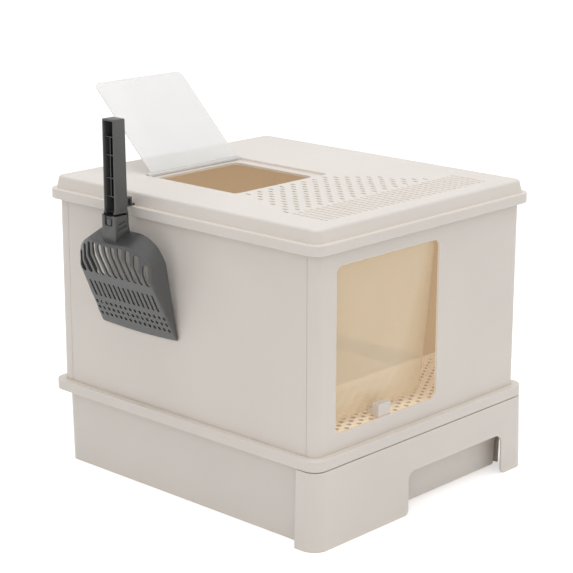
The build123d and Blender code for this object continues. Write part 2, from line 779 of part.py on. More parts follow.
# Scoop handle: a channel open to the outside, stiffened by ribs, with a tab that hangs on the hook
channel = (scoop_center - handle_width / 2 + handle_wall, scoop_center + handle_width / 2 - handle_wall)
rib_x = (handle_front + rib_setback, handle_back - handle_wall)
last_rib = first_rib + (rib_count - 1) * rib_pitch
with BuildPart() as scoop_handle:
    with BuildSketch(Plane.XY.offset(socket_floor)) as grip:
        with Locations(((handle_front + handle_back) / 2, scoop_center)):
            RectangleRounded(handle_back - handle_front, handle_width, handle_radius)
    extrude(grip.sketch, amount=handle_top - socket_floor)
    fillet(scoop_handle.edges().group_by(Axis.Z)[-1], handle_radius)
    block(
        (handle_front, handle_back - handle_wall), channel,
        (socket_top + handle_wall, handle_top - handle_wall), mode=Mode.SUBTRACT,
    )
    for number in range(rib_count):
        rib = first_rib + number * rib_pitch
        block(rib_x, channel, (rib - rib_thickness / 2, rib + rib_thickness / 2))
    block(
        rib_x, (scoop_center - rib_thickness / 2, scoop_center + rib_thickness / 2), (first_rib, last_rib)
    )
    tab_y = (hook_middle - tab_width / 2, hook_middle + tab_width / 2)
    block((handle_back, tab_front + tab_thickness), tab_y, (hook_top, hook_top + tab_thickness))
    block((tab_front, tab_front + tab_thickness), tab_y, (hook_top - tab_drop, hook_top))
    block(
        (socket_front + latch_gap, handle_front),
        (scoop_center - latch_width / 2, scoop_center + latch_width / 2),
        (socket_top - socket_notch_depth + latch_gap, socket_top),
    )
save(scoop_handle, "scoop_handle")
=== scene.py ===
"""Looks of a covered litter box with a swing door, a litter drawer, a top exit and a hanging scoop.

Metres, Z up, the origin on the floor under the middle of the base. The door and the drawer face -Y,
and the scoop hangs on the -X side.
"""

from __future__ import annotations

import json
import logging
import math
from contextlib import contextmanager
from dataclasses import dataclass, replace
from enum import Enum
from typing import Callable, Iterator, Optional, Sequence, Union

import bmesh
import bpy
from mathutils import Matrix, Vector

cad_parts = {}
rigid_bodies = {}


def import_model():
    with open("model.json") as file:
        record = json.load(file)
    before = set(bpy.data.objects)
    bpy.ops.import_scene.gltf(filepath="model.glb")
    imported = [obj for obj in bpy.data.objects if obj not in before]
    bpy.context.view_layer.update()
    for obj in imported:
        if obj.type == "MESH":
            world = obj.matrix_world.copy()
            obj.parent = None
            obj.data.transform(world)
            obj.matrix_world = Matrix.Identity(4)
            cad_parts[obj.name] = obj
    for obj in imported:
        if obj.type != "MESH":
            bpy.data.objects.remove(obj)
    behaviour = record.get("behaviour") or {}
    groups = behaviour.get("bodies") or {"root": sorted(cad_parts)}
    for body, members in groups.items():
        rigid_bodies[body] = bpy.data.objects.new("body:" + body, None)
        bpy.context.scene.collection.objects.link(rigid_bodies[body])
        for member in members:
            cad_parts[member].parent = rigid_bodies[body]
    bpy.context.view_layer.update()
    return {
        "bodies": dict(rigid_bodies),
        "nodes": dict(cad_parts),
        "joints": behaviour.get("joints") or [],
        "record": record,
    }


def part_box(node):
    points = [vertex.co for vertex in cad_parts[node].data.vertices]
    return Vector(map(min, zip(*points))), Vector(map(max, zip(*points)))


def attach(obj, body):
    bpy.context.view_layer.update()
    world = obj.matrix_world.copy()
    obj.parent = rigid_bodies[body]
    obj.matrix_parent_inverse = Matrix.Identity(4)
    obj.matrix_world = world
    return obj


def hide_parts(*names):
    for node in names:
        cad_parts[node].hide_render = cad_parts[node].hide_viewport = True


LOG = logging.getLogger("litter_box")

NEAR = 1e-5
OPAQUE = 1.0

Colour = tuple[float, float, float]
Triple = Sequence[float]


class Slot(Enum):
    """Material slots of the record that go with the modelled pieces."""

    CLEAR = "clear_flap"
    SCOOP = "scoop"


class Body(Enum):
    """Moving bodies of the frame that the modelled pieces ride on."""

    DOOR = "door"
    EXIT = "exit"
    SCOOP = "scoop"


class Part(Enum):
    """What an edit-mode selection is made of."""

    VERT = "VERT"
    EDGE = "EDGE"
    FACE = "FACE"


class Along(Enum):
    """Direction of a round bar, as its turn from upright."""

    X = (0.0, math.pi / 2, 0.0)
    Z = (0.0, 0.0, 0.0)


class NodeGraph:
    """The node tree of one material, or of the world."""

    def __init__(self, owner: Union[bpy.types.Material, bpy.types.World]) -> None:
        """Start an empty tree.

        Args:
            owner: What the tree belongs to.
        """
        self.owner = owner
        owner.use_nodes = True
        self.tree = owner.node_tree
        self.tree.nodes.clear()

    def feed(self, socket: bpy.types.NodeSocket, value: object) -> None:
        """Link a socket to a signal or another socket, or set its plain value."""
        source = value.socket if isinstance(value, Signal) else value
        if isinstance(source, bpy.types.NodeSocket):
            self.tree.links.new(source, socket)
        else:
            socket.default_value = source

    def node(
        self,
        kind: str,
        settings: Optional[dict[str, object]] = None,
        inputs: Optional[dict[Union[str, int], object]] = None,
    ) -> bpy.types.Node:
        """Make one node.

        Args:
            kind: Type of the node, such as ShaderNodeBump.
            settings: Properties of the node, set first.
            inputs: Values or links of its sockets, by name or place.

        Returns:
            The new node.
        """
        made = self.tree.nodes.new(kind)
        for key, value in (settings or {}).items():
            setattr(made, key, value)
        for key, value in (inputs or {}).items():
            self.feed(made.inputs[key], value)
        return made

    def signal(self, socket: bpy.types.NodeSocket) -> "Signal":
        """Wrap an output so that it takes part in arithmetic."""
        return Signal(self, socket)

    def mix(self, factor: object, first: object, second: object) -> bpy.types.NodeSocket:
        """Blend two colours.

        Args:
            factor: Share of the second colour.
            first: Colour at factor zero.
            second: Colour at factor one.

        Returns:
            The blended colour.
        """
        made = self.node("ShaderNodeMix", {"data_type": "RGBA"}, {0: factor, 6: first, 7: second})
        return made.outputs[2]

    def scale(self, colour: object, factor: object) -> bpy.types.NodeSocket:
        """Brighten or darken a colour.

        Args:
            colour: The colour.
            factor: What it is multiplied by.

        Returns:
            The scaled colour.
        """
        made = self.node("ShaderNodeVectorMath", {"operation": "SCALE"}, {0: colour, "Scale": factor})
        return made.outputs[0]

    def number(self, value: float) -> "Signal":
        """A plain number as a signal."""
        made = self.node("ShaderNodeValue")
        made.outputs[0].default_value = value
        return self.signal(made.outputs[0])

    def shown(self) -> "Signal":
        """1 where the camera, a reflection or a clear sheet looks, 0 where light is gathered."""
        path = self.node("ShaderNodeLightPath").outputs
        straight, glossy, through = (
            self.signal(path[name]) for name in ("Is Camera Ray", "Is Glossy Ray", "Is Transmission Ray")
        )
        return straight.most(glossy).most(through)

    def finish(self, shader: bpy.types.NodeSocket) -> Union[bpy.types.Material, bpy.types.World]:
        """Send a shader to the output and hand over what the tree belongs to."""
        world = isinstance(self.owner, bpy.types.World)
        kind = "ShaderNodeOutputWorld" if world else "ShaderNodeOutputMaterial"
        self.node(kind, inputs={"Surface": shader})
        return self.owner


class Signal:
    """A number carried by a socket, with arithmetic that adds Math nodes."""

    def __init__(self, graph: NodeGraph, socket: bpy.types.NodeSocket) -> None:
        """Wrap a socket of a graph."""
        self.graph = graph
        self.socket = socket

    def apply(self, operation: str, *values: object) -> "Signal":
        """Add one Math node.

        Args:
            operation: Name of the operation.
            *values: Its inputs in order.

        Returns:
            The result as a signal.
        """
        made = self.graph.node("ShaderNodeMath", {"operation": operation}, dict(enumerate(values)))
        return Signal(self.graph, made.outputs[0])

    def __add__(self, other: object) -> "Signal":
        """Sum."""
        return self.apply("ADD", self, other)

    def __radd__(self, other: object) -> "Signal":
        """Sum, reflected."""
        return self.apply("ADD", other, self)

    def __sub__(self, other: object) -> "Signal":
        """Difference."""
        return self.apply("SUBTRACT", self, other)

    def __rsub__(self, other: object) -> "Signal":
        """Difference, reflected."""
        return self.apply("SUBTRACT", other, self)

    def __mul__(self, other: object) -> "Signal":
        """Product."""
        return self.apply("MULTIPLY", self, other)

    def __rmul__(self, other: object) -> "Signal":
        """Product, reflected."""
        return self.apply("MULTIPLY", other, self)

    def __pow__(self, other: object) -> "Signal":
        """Power."""
        return self.apply("POWER", self, other)

    def __rpow__(self, other: object) -> "Signal":
        """Power, reflected."""
        return self.apply("POWER", other, self)

    def __abs__(self) -> "Signal":
        """Size without sign."""
        return self.apply("ABSOLUTE", self)

    def least(self, other: object) -> "Signal":
        """The smaller of two."""
        return self.apply("MINIMUM", self, other)

    def most(self, other: object) -> "Signal":
        """The larger of two."""
        return self.apply("MAXIMUM", self, other)

    def step(self, low: float, high: float) -> "Signal":
        """Rise smoothly from 0 at low to 1 at high; low above high falls instead.

        Args:
            low: Value that gives 0.
            high: Value that gives 1.

        Returns:
            The mask.
        """
        rising = low < high
        made = self.graph.node(
            "ShaderNodeMapRange",
            {"interpolation_type": "SMOOTHSTEP"},
            {"Value": self, "From Min": min(low, high), "From Max": max(low, high)},
        )
        mask = Signal(self.graph, made.outputs["Result"])
        return mask if rising else 1 - mask


class Surface:
    """Signals that every finish starts from: place, grain, drift and edges."""

    def __init__(self, graph: NodeGraph, edge_radius: float) -> None:
        """Read the object's own coordinates.

        Args:
            graph: Graph of the material.
            edge_radius: Radius that sharp edges are rounded to in the shading.
        """
        self.graph = graph
        self.place = graph.node("ShaderNodeTexCoord").outputs["Object"]
        parts = graph.node("ShaderNodeSeparateXYZ", inputs={0: self.place})
        self.x, self.y, self.z = (graph.signal(socket) for socket in parts.outputs)
        self.rounded = graph.node(
            "ShaderNodeBevel", {"samples": 6}, {"Radius": edge_radius}
        ).outputs[0]
        true = graph.node("ShaderNodeNewGeometry").outputs["Normal"]
        facing = self._join("DOT_PRODUCT", self.rounded, true)
        self.edge = (1 - graph.signal(facing)).step(0.01, 0.22)
        self.true = true
        self.flat = self._join("MULTIPLY", true, (1.0, 1.0, 0.0))

    def _join(self, operation: str, first: object, second: object) -> bpy.types.NodeSocket:
        """Combine two vectors; a dot product gives a number."""
        made = self.graph.node("ShaderNodeVectorMath", {"operation": operation}, {0: first, 1: second})
        return made.outputs["Value" if operation == "DOT_PRODUCT" else "Vector"]

    def noise(self, scale: float, detail: float, roughness: float = 0.5) -> Signal:
        """Noise on the object's coordinates.

        Args:
            scale: Blotches per metre.
            detail: Number of finer layers.
            roughness: Weight of the finer layers.

        Returns:
            A signal around 0.5.
        """
        made = self.graph.node(
            "ShaderNodeTexNoise",
            inputs={"Vector": self.place, "Scale": scale, "Detail": detail, "Roughness": roughness},
        )
        return self.graph.signal(made.outputs["Fac"])

    def hollow(self, reach: float) -> Signal:
        """How enclosed a point is by what stands within a distance; 0 in the open.

        Args:
            reach: Distance looked at.

        Returns:
            The mask.
        """
        made = self.graph.node(
            "ShaderNodeAmbientOcclusion", {"samples": 8}, {"Distance": reach}
        )
        return 1 - self.graph.signal(made.outputs["AO"])

    def within(self, room: "Room") -> Signal:
        """Mask of the faces in a room that don't look away from its middle.

        Args:
            room: The room.

        Returns:
            The mask.
        """
        over_x = (abs(self.x - room.middle[0]) - (room.half_x - room.radius)).most(0.0)
        over_y = (abs(self.y - room.middle[1]) - (room.half_y - room.radius)).most(0.0)
        reach = (over_x * over_x + over_y * over_y) ** 0.5
        plan = reach.step(room.radius + room.edge, room.radius - room.edge)
        above = self.z.step(room.low - room.edge, room.low + room.edge)
        below = self.z.step(room.high + room.edge, room.high - room.edge)
        middle = (*room.middle, 0.0)
        offset = self._join("SUBTRACT", self.place, middle)
        outward = self.graph.signal(self._join("DOT_PRODUCT", offset, self.flat)).step(0.01, 0.02)
        return plan * above * below * (1 - outward)

    def upward(self) -> Signal:
        """Mask of the faces that look up."""
        parts = self.graph.node("ShaderNodeSeparateXYZ", inputs={0: self.true})
        return self.graph.signal(parts.outputs[2]).step(0.45, 0.9)

    def bump(self, height: object, distance: float, strength: float = 1.0) -> bpy.types.NodeSocket:
        """Normal with relief on top of the rounded edges."""
        made = self.graph.node(
            "ShaderNodeBump",
            inputs={"Height": height, "Distance": distance, "Strength": strength, "Normal": self.rounded},
        )
        return made.outputs[0]


@dataclass(frozen=True)
class Room:
    """A hollow whose faces take painted light and shade, as a block with rounded upright corners.

    Attributes:
        half_x: Half its size along X.
        half_y: Half its size along Y.
        low: Its floor.
        high: Its top.
        middle: Its middle in X and Y.
        radius: Radius of its corners.
        edge: Softness of its border.
    """

    half_x: float
    half_y: float
    low: float
    high: float
    middle: tuple[float, float] = (0.0, 0.0)
    radius: float = 0.0105
    edge: float = 0.0003

    @classmethod
    def of_frame(cls, wall: float = 0.003, recess_floor: float = 0.0055) -> "Room":
        """Find the room between the walls from the CAD pieces round it.

        Args:
            wall: Thickness of the walls; the border runs inside them.
            recess_floor: Depth of the border below the top of the lid.

        Returns:
            The room.
        """
        return cls(
            half_x=-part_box("left_panel")[0].x - wall / 2,
            half_y=-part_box("front_panel")[0].y - wall / 2,
            low=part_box("base_tray")[1].z,
            high=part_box("lid")[1].z - recess_floor,
        )


@dataclass(frozen=True)
class MouldedPlastic:
    """Satin injection-moulded plastic with a fine spark-eroded grain; light and shade are painted into its
    colour in hollows, on faces that look up and in its room, which also has a painted glow.

    Attributes:
        name: Name of the material.
        colour: Main colour.
        deep_colour: Colour of the light and shade painted in hollows, in the room and on faces that look
            up; a warm one stands in for light that has gone through the wall or bounced, a dark one for
            shade.
        worn_colour: Colour of rubbed edges.
        roughness: Roughness of the open faces.
        grain: Depth of the grain.
        edge_radius: Shading radius of sharp edges.
        hollow_reach: Distance over which hollows take the deep colour.
        hollow_share: Share of the painted deep colour in a full hollow.
        painted_top_shade: Share of the deep colour on faces that look up, painted shade on the tops.
        glow: Share of light that travels inside the wall.
        glow_spread: How far its red, green and blue travel, against the depth.
        glow_depth: How deep it travels.
        light: Strength of the painted glow on the room's faces, which stands in for light that comes
            through the walls into the room.
        light_colour: Colour of that painted glow.
        room: The room whose faces take the painted deep colour and the painted glow, if any.
        room_share: Share of the painted deep colour in it.
    """

    name: str
    colour: Colour
    deep_colour: Colour
    worn_colour: Colour
    roughness: float = 0.42
    grain: float = 0.00006
    edge_radius: float = 0.0006
    hollow_reach: float = 0.012
    hollow_share: float = 0.35
    painted_top_shade: float = 0.0
    glow: float = 0.0
    glow_spread: Colour = (1.0, 0.95, 0.85)
    glow_depth: float = 0.004
    light: float = 0.0
    light_colour: Colour = (1.0, 0.85, 0.67)
    room: Optional["Room"] = None
    room_share: float = 0.9

    def material(self) -> bpy.types.Material:
        """Build the node tree.

        Returns:
            The finished material.
        """
        graph = NodeGraph(bpy.data.materials.new(self.name))
        surface = Surface(graph, self.edge_radius)
        drift = surface.noise(scale=7.0, detail=3.0)
        fine = surface.noise(scale=1400.0, detail=2.0, roughness=0.6)
        handled = surface.noise(scale=38.0, detail=4.0, roughness=0.65)
        painted_light_and_shade, dark = (*self.deep_colour, OPAQUE), (0.0, 0.0, 0.0, OPAQUE)
        inside = surface.within(self.room) if self.room else graph.number(0.0)
        # Painted light and shade: the deep colour goes into hollows, onto the room's faces and onto faces
        # that look up.
        hollow = (surface.hollow(self.hollow_reach) * 1.15).least(1.0) * self.hollow_share
        hollow = hollow.most(inside * self.room_share).most(surface.upward() * self.painted_top_shade)
        body = graph.mix(hollow, graph.scale(self.colour, drift * 0.10 + 0.95), painted_light_and_shade)
        rubbed = graph.mix(surface.edge * (handled * 0.8 + 0.2), body, (*self.worn_colour, OPAQUE))
        rough = self.roughness + (handled - 0.5) * 0.16 + (drift - 0.5) * 0.08 - surface.edge * 0.08
        normal = surface.bump(fine * 0.7 + handled * 0.3, self.grain)
        shader = graph.node(
            "ShaderNodeBsdfPrincipled",
            inputs={
                "Base Color": rubbed,
                "Roughness": rough,
                "Normal": normal,
                # Painted glow on the room's faces, for light that comes through the walls.
                "Emission Color": graph.mix(inside, dark, (*self.light_colour, OPAQUE)),
                "Emission Strength": self.light,
                "Subsurface Weight": self.glow,
                "Subsurface Radius": self.glow_spread,
                "Subsurface Scale": self.glow_depth,
                "IOR": 1.49,
                "Specular IOR Level": 0.42,
            },
        )
        return graph.finish(shader.outputs[0])


@dataclass(frozen=True)
class ClearSheet:
    """Clear sheet with a faint milkiness, brighter along its cut edges, with a painted reflection where it
    is seen at a grazing angle and a painted glow for light from behind.

    Attributes:
        name: Name of the material.
        colour: Tint of the sheet.
        edge_colour: Tint of its cut edges.
        veil: Share of light the open face holds back.
        edge_veil: Share that the cut edges hold back.
        roughness: Roughness of the faces.
        light: Strength of the painted glow that stands in for light that comes through the sheet from
            behind.
    """

    name: str
    colour: Colour
    edge_colour: Colour
    veil: float
    edge_veil: float
    roughness: float
    light: float

    def material(self) -> bpy.types.Material:
        """Build the node tree.

        Returns:
            The finished material.
        """
        graph = NodeGraph(bpy.data.materials.new(self.name))
        surface = Surface(graph, edge_radius=0.0004)
        scuffs = surface.noise(scale=90.0, detail=5.0, roughness=0.7)
        clouds = surface.noise(scale=9.0, detail=2.0)
        # Painted reflection: the sheet holds back more light where it is seen at a grazing angle.
        rim = graph.signal(
            graph.node("ShaderNodeLayerWeight", inputs={"Blend": 0.35}).outputs["Facing"]
        )
        veil = self.veil * (0.9 + clouds * 0.2) + (rim ** 3.0) * 0.35
        veil = veil + surface.edge * self.edge_veil + scuffs.step(0.62, 0.8) * 0.04
        rough = self.roughness + scuffs.step(0.5, 0.75) * 0.12
        tint = graph.mix(surface.edge, (*self.colour, OPAQUE), (*self.edge_colour, OPAQUE))
        shader = graph.node(
            "ShaderNodeBsdfPrincipled",
            inputs={
                "Base Color": tint,
                # Painted glow for the light coming through the sheet from behind.
                "Emission Color": tint,
                "Emission Strength": self.light,
                "Roughness": rough,
                "Alpha": veil.least(1.0),
                "IOR": 1.5,
                "Normal": surface.bump(clouds, distance=0.00004),
            },
        )
        return graph.finish(shader.outputs[0])


@dataclass(frozen=True)
class DrawnWire:
    """Bright drawn steel wire with fine lengthwise lines.

    Attributes:
        name: Name of the material.
        colour: Colour of the metal.
        roughness: Roughness of the metal.
        lines: Lines for each metre, along the wire and across it.
    """

    name: str
    colour: Colour
    roughness: float
    lines: Triple = (20.0, 2600.0, 2600.0)

    def material(self) -> bpy.types.Material:
        """Build the node tree.

        Returns:
            The finished material.
        """
        graph = NodeGraph(bpy.data.materials.new(self.name))
        surface = Surface(graph, edge_radius=0.0003)
        stretched = graph.node(
            "ShaderNodeMapping", inputs={"Vector": surface.place, "Scale": self.lines}
        ).outputs[0]
        lines = graph.signal(
            graph.node(
                "ShaderNodeTexNoise", inputs={"Vector": stretched, "Scale": 1.0, "Detail": 2.0}
            ).outputs["Fac"]
        )
        tone = graph.scale(self.colour, 1 - lines * 0.2)
        shader = graph.node(
            "ShaderNodeBsdfPrincipled",
            inputs={
                "Base Color": tone,
                "Metallic": 1.0,
                "Roughness": self.roughness + lines * 0.15,
                "Normal": surface.bump(lines, distance=0.00003),
            },
        )
        return graph.finish(shader.outputs[0])


@dataclass(frozen=True)
class FloorPaint:
    """Plain pale floor that reads as white to the camera where nothing shades it.

    Attributes:
        name: Name of the material.
        colour: Colour of the floor.
        lift: Light added for the camera, so that the open floor is white.
    """

    name: str
    colour: Colour
    lift: float

    def material(self) -> bpy.types.Material:
        """Build the node tree.

        Returns:
            The finished material.
        """
        graph = NodeGraph(bpy.data.materials.new(self.name))
        place = graph.node("ShaderNodeTexCoord").outputs["Object"]
        haze = graph.node("ShaderNodeTexNoise", inputs={"Vector": place, "Scale": 3.0}).outputs["Fac"]
        tone = graph.scale(self.colour, 1 - graph.signal(haze) * 0.01)
        paint = graph.node("ShaderNodeBsdfDiffuse", inputs={"Color": tone}).outputs[0]
        lamp = graph.node("ShaderNodeEmission", inputs={"Strength": self.lift}).outputs[0]
        both = graph.node("ShaderNodeAddShader", inputs={0: paint, 1: lamp}).outputs[0]
        shader = graph.node("ShaderNodeMixShader", inputs={0: graph.shown(), 1: paint, 2: both}).outputs[0]
        return graph.finish(shader)


IVORY = (0.78, 0.735, 0.69)
# Warm colour painted in the ivory's hollows and on its inner faces, standing in for light bounced there or
# passed through the walls.
PAINTED_GLOW_IVORY = (0.94, 0.80, 0.62)
WORN_IVORY = (0.84, 0.81, 0.775)
CHARCOAL = (0.105, 0.107, 0.107)
# Painted shade in the scoop's hollows, on its tops and inside its handle.
PAINTED_SHADE_BLACK = (0.012, 0.012, 0.012)
WORN_CHARCOAL = (0.17, 0.172, 0.174)
WHITE = (1.0, 1.0, 1.0, OPAQUE)


class Palette:
    """The materials of the litter box, each made once."""

    def __init__(self, room: Room) -> None:
        """Make the materials.

        Args:
            room: The room whose faces are interior and take painted light.
        """
        # The warm deep colour is painted light in hollows and on inner faces.
        ivory = MouldedPlastic("ivory_catch", IVORY, PAINTED_GLOW_IVORY, WORN_IVORY, glow=0.3)
        # The scoop's black deep colour is painted shade in its hollows and on its tops.
        self.charcoal = MouldedPlastic(
            "charcoal_scoop", CHARCOAL, PAINTED_SHADE_BLACK, WORN_CHARCOAL, roughness=0.36, grain=0.00008,
            edge_radius=0.0007, hollow_reach=0.010, hollow_share=0.6, painted_top_shade=0.55,
        )
        self.catch = ivory.material()
        # Inside the tub, the box and under the grate the faces take the warm painted light and a painted
        # glow.
        tub = replace(room, low=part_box("drawer_tray")[0].z + room.edge * 10)
        self.drawer = replace(ivory, name="ivory_tub", room=tub, light=0.04, room_share=0.5).material()
        self.shell = replace(ivory, name="ivory_shell", room=room, light=0.10).material()
        self.grate = replace(ivory, name="ivory_grate", room=room, light=0.22).material()
        self.scoop = self.charcoal.material()
        # The sheets' light is a painted glow for the light behind them.
        self.door = ClearSheet(
            "door_sheet", colour=(0.91, 0.77, 0.56), edge_colour=(0.93, 0.80, 0.52),
            veil=0.44, edge_veil=0.4, roughness=0.16, light=0.05,
        ).material()
        self.exit = ClearSheet(
            "exit_sheet", colour=(0.87, 0.87, 0.87), edge_colour=(0.45, 0.45, 0.46),
            veil=0.60, edge_veil=0.4, roughness=0.14, light=0.06,
        ).material()
        self.rod = DrawnWire("drawn_wire", (0.62, 0.62, 0.61), 0.28).material()


def dress(piece: bpy.types.Object, material: bpy.types.Material) -> None:
    """Give every slot of a piece one material."""
    if not piece.material_slots:
        piece.data.materials.append(material)
    for slot in piece.material_slots:
        slot.material = material


class Bench:
    """One piece being modelled: a primitive at its size and place, then shaped in edit mode."""

    def __init__(self, name: str, piece: bpy.types.Object) -> None:
        """Take over a fresh primitive.

        Args:
            name: Name of the piece.
            piece: The primitive, placed and sized.
        """
        self.piece = piece
        piece.name = name
        piece.data.name = name
        self.settle()

    @classmethod
    def block(cls, name: str, low: Triple, high: Triple) -> "Bench":
        """Start from a block between two corners."""
        clear_selection()
        middle = [(a + b) / 2 for a, b in zip(low, high)]
        bpy.ops.mesh.primitive_cube_add(size=1.0, location=middle)
        piece = bpy.context.active_object
        piece.scale = [b - a for a, b in zip(low, high)]
        return cls(name, piece)

    @classmethod
    def tilted_block(cls, name: str, low: Triple, high: Triple, origin: Triple, lean: float) -> "Bench":
        """Start from a block given in a frame that is turned about Y.

        Args:
            name: Name of the piece.
            low: Its lowest corner in that frame.
            high: Its highest corner there.
            origin: Origin of that frame.
            lean: How far the frame's X axis rises from X, in degrees.

        Returns:
            The bench with the block on it.
        """
        made = cls.block(name, low, high)
        made.piece.rotation_euler = (0.0, -math.radians(lean), 0.0)
        made.piece.location = origin
        made.settle()
        return made

    @classmethod
    def round_bar(
        cls, name: str, middle: Triple, radius: float, length: float, sides: int, along: Along = Along.X
    ) -> "Bench":
        """Start from a round bar.

        Args:
            name: Name of the piece.
            middle: Its middle.
            radius: Its radius.
            length: Its length.
            sides: Number of its sides.
            along: Its direction.

        Returns:
            The bench with the bar on it.
        """
        clear_selection()
        bpy.ops.mesh.primitive_cylinder_add(
            vertices=sides, radius=radius, depth=length, location=middle, rotation=along.value,
        )
        return cls(name, bpy.context.active_object)

    def settle(self) -> None:
        """Put place, turn and size into the mesh."""
        self.take_up()
        bpy.ops.object.transform_apply(location=True, rotation=True, scale=True)

    def take_up(self) -> None:
        """Make this piece the only selected one."""
        clear_selection()
        self.piece.select_set(True)
        bpy.context.view_layer.objects.active = self.piece

    @contextmanager
    def editing(self) -> Iterator[None]:
        """Work in edit mode, starting with nothing selected."""
        self.take_up()
        bpy.ops.object.mode_set(mode="EDIT")
        bpy.ops.mesh.select_all(action="DESELECT")
        yield
        bpy.ops.object.mode_set(mode="OBJECT")

    def pick(self, kind: Part, test: Callable[[Vector], bool]) -> None:
        """Select the vertices, edges or faces whose middle passes a test."""
        bpy.ops.mesh.select_mode(type=kind.value)
        bpy.ops.mesh.select_all(action="DESELECT")
        shape = bmesh.from_edit_mesh(self.piece.data)
        if kind is Part.VERT:
            chosen = [vert for vert in shape.verts if test(vert.co)]
        elif kind is Part.EDGE:
            chosen = [edge for edge in shape.edges if test((edge.verts[0].co + edge.verts[1].co) / 2)]
        else:
            chosen = [face for face in shape.faces if test(face.calc_center_median())]
        for item in chosen:
            item.select_set(True)
        bmesh.update_edit_mesh(self.piece.data)

    def cut(self, point: Triple, normal: Triple, keep_below: bool = False, fill: bool = True) -> None:
        """Cut the whole mesh with a plane.

        Args:
            point: A point of the plane.
            normal: Its normal.
            keep_below: Whether what lies on the side of the normal goes.
            fill: Whether the cut is closed.
        """
        bpy.ops.mesh.select_all(action="SELECT")
        bpy.ops.mesh.bisect(
            plane_co=point, plane_no=normal, use_fill=fill and keep_below, clear_outer=keep_below,
        )

    def round_edges(self, test: Callable[[Vector], bool], radius: float, segments: int) -> None:
        """Round the edges whose middle passes a test."""
        self.pick(Part.EDGE, test)
        bpy.ops.mesh.bevel(offset=radius, segments=segments, profile=0.5, affect="EDGES")

    def modify(self, kind: str, **settings: object) -> None:
        """Add a modifier and apply it at once."""
        modifier = self.piece.modifiers.new(kind.lower(), kind)
        for key, value in settings.items():
            setattr(modifier, key, value)
        self.take_up()
        bpy.ops.object.modifier_apply(modifier=modifier.name)

    def carve(self, cutter: "Bench", operation: str = "DIFFERENCE") -> None:
        """Combine with another mesh, which is used up."""
        self.modify("BOOLEAN", object=cutter.piece, operation=operation, solver="EXACT")
        bpy.data.objects.remove(cutter.piece)

    def join(self, others: Sequence["Bench"]) -> None:
        """Take other meshes into this piece."""
        clear_selection()
        for other in others:
            other.piece.select_set(True)
        self.piece.select_set(True)
        bpy.context.view_layer.objects.active = self.piece
        bpy.ops.object.join()

    def copies(self, shifts: Sequence[Triple]) -> "Bench":
        """Repeat the mesh at several shifts, as one mesh.

        Args:
            shifts: Moves from the first place, one for each copy wanted.

        Returns:
            This bench, with all the copies on it and the first one moved as well.
        """
        clones = []
        for number, shift in enumerate(shifts[1:]):
            clone = self.piece.copy()
            clone.data = self.piece.data.copy()
            bpy.context.scene.collection.objects.link(clone)
            clone.location = shift
            clones.append(Bench(f"{self.piece.name}_{number}", clone))
        self.piece.location = shifts[0]
        self.settle()
        if clones:
            self.join(clones)
        return self

    def soften(self, width: float, segments: int = 2, angle: float = 40.0, smooth: float = 35.0) -> None:
        """Round the sharp edges a little and smooth the shading."""
        self.modify(
            "BEVEL", width=width, segments=segments, limit_method="ANGLE",
            angle_limit=math.radians(angle), use_clamp_overlap=True,
        )
        self.take_up()
        bpy.ops.object.shade_smooth_by_angle(angle=math.radians(smooth))

    def hand_over(self, material: bpy.types.Material, slot: Slot, body: Body, *nodes: str) -> None:
        """Dress the piece and put it in the place of CAD nodes.

        Args:
            material: Its finish.
            slot: The record's slot for its finish; not used.
            body: The body that it rides on.
            *nodes: The CAD nodes that it stands for.
        """
        dress(self.piece, material)
        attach(self.piece, body.value)
        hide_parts(*nodes)
        faces = len(self.piece.data.polygons)
        LOG.info("%s modelled, %d faces, for %s", self.piece.name, faces, ", ".join(nodes))


def clear_selection() -> None:
    """Leave nothing selected."""
    for piece in bpy.context.selected_objects:
        piece.select_set(False)


def spread(count: int, pitch: float) -> list[float]:
    """Places of a row of equal steps, centred on zero."""
    return [(number - (count - 1) / 2) * pitch for number in range(count)]


@dataclass
class Assembly:
    """A sub-assembly of the litter box.

    Attributes:
        palette: The materials.
    """

    frame: dict
    palette: Palette

    def build(self) -> None:
        """Model the pieces that don't keep their CAD shape; here there are none."""

    def carry(self, material: bpy.types.Material, *nodes: str) -> None:
        """Give CAD pieces a finish; they keep their shape.

        Args:
            material: The finish.
            *nodes: Names of the pieces.
        """
        for name in nodes:
            dress(self.frame["nodes"][name], material)
            LOG.info("%s carried over in %s", name, material.name)

    def axis(self, joint: str) -> tuple[float, float]:
        """Place (y, z) of a hinge that turns about X."""
        found = next(item for item in self.frame["joints"] if item["name"] == joint)
        return found["pos_m"][1], found["pos_m"][2]


class Housing(Assembly):
    """The base tray and the entry grate over it."""

    def dress(self) -> None:
        """Give the pieces their finishes."""
        self.carry(self.palette.shell, "base_tray")
        self.carry(self.palette.grate, "entry_grate")


class Walls(Assembly):
    """The four wall panels and the door catch on the front one."""

    def dress(self) -> None:
        """Give the pieces their finishes."""
        self.carry(self.palette.shell, "front_panel", "back_panel", "left_panel", "right_panel")
        self.carry(self.palette.catch, "door_catch")


class Drawer(Assembly):
    """The litter drawer."""

    def dress(self) -> None:
        """Give the drawer its finish."""
        self.carry(self.palette.drawer, "drawer_tray")


class Lid(Assembly):
    """The lid and the hook on its side."""

    def dress(self) -> None:
        """Give the pieces their finishes."""
        self.carry(self.palette.shell, "lid")
        self.carry(self.palette.scoop, "scoop_hook")


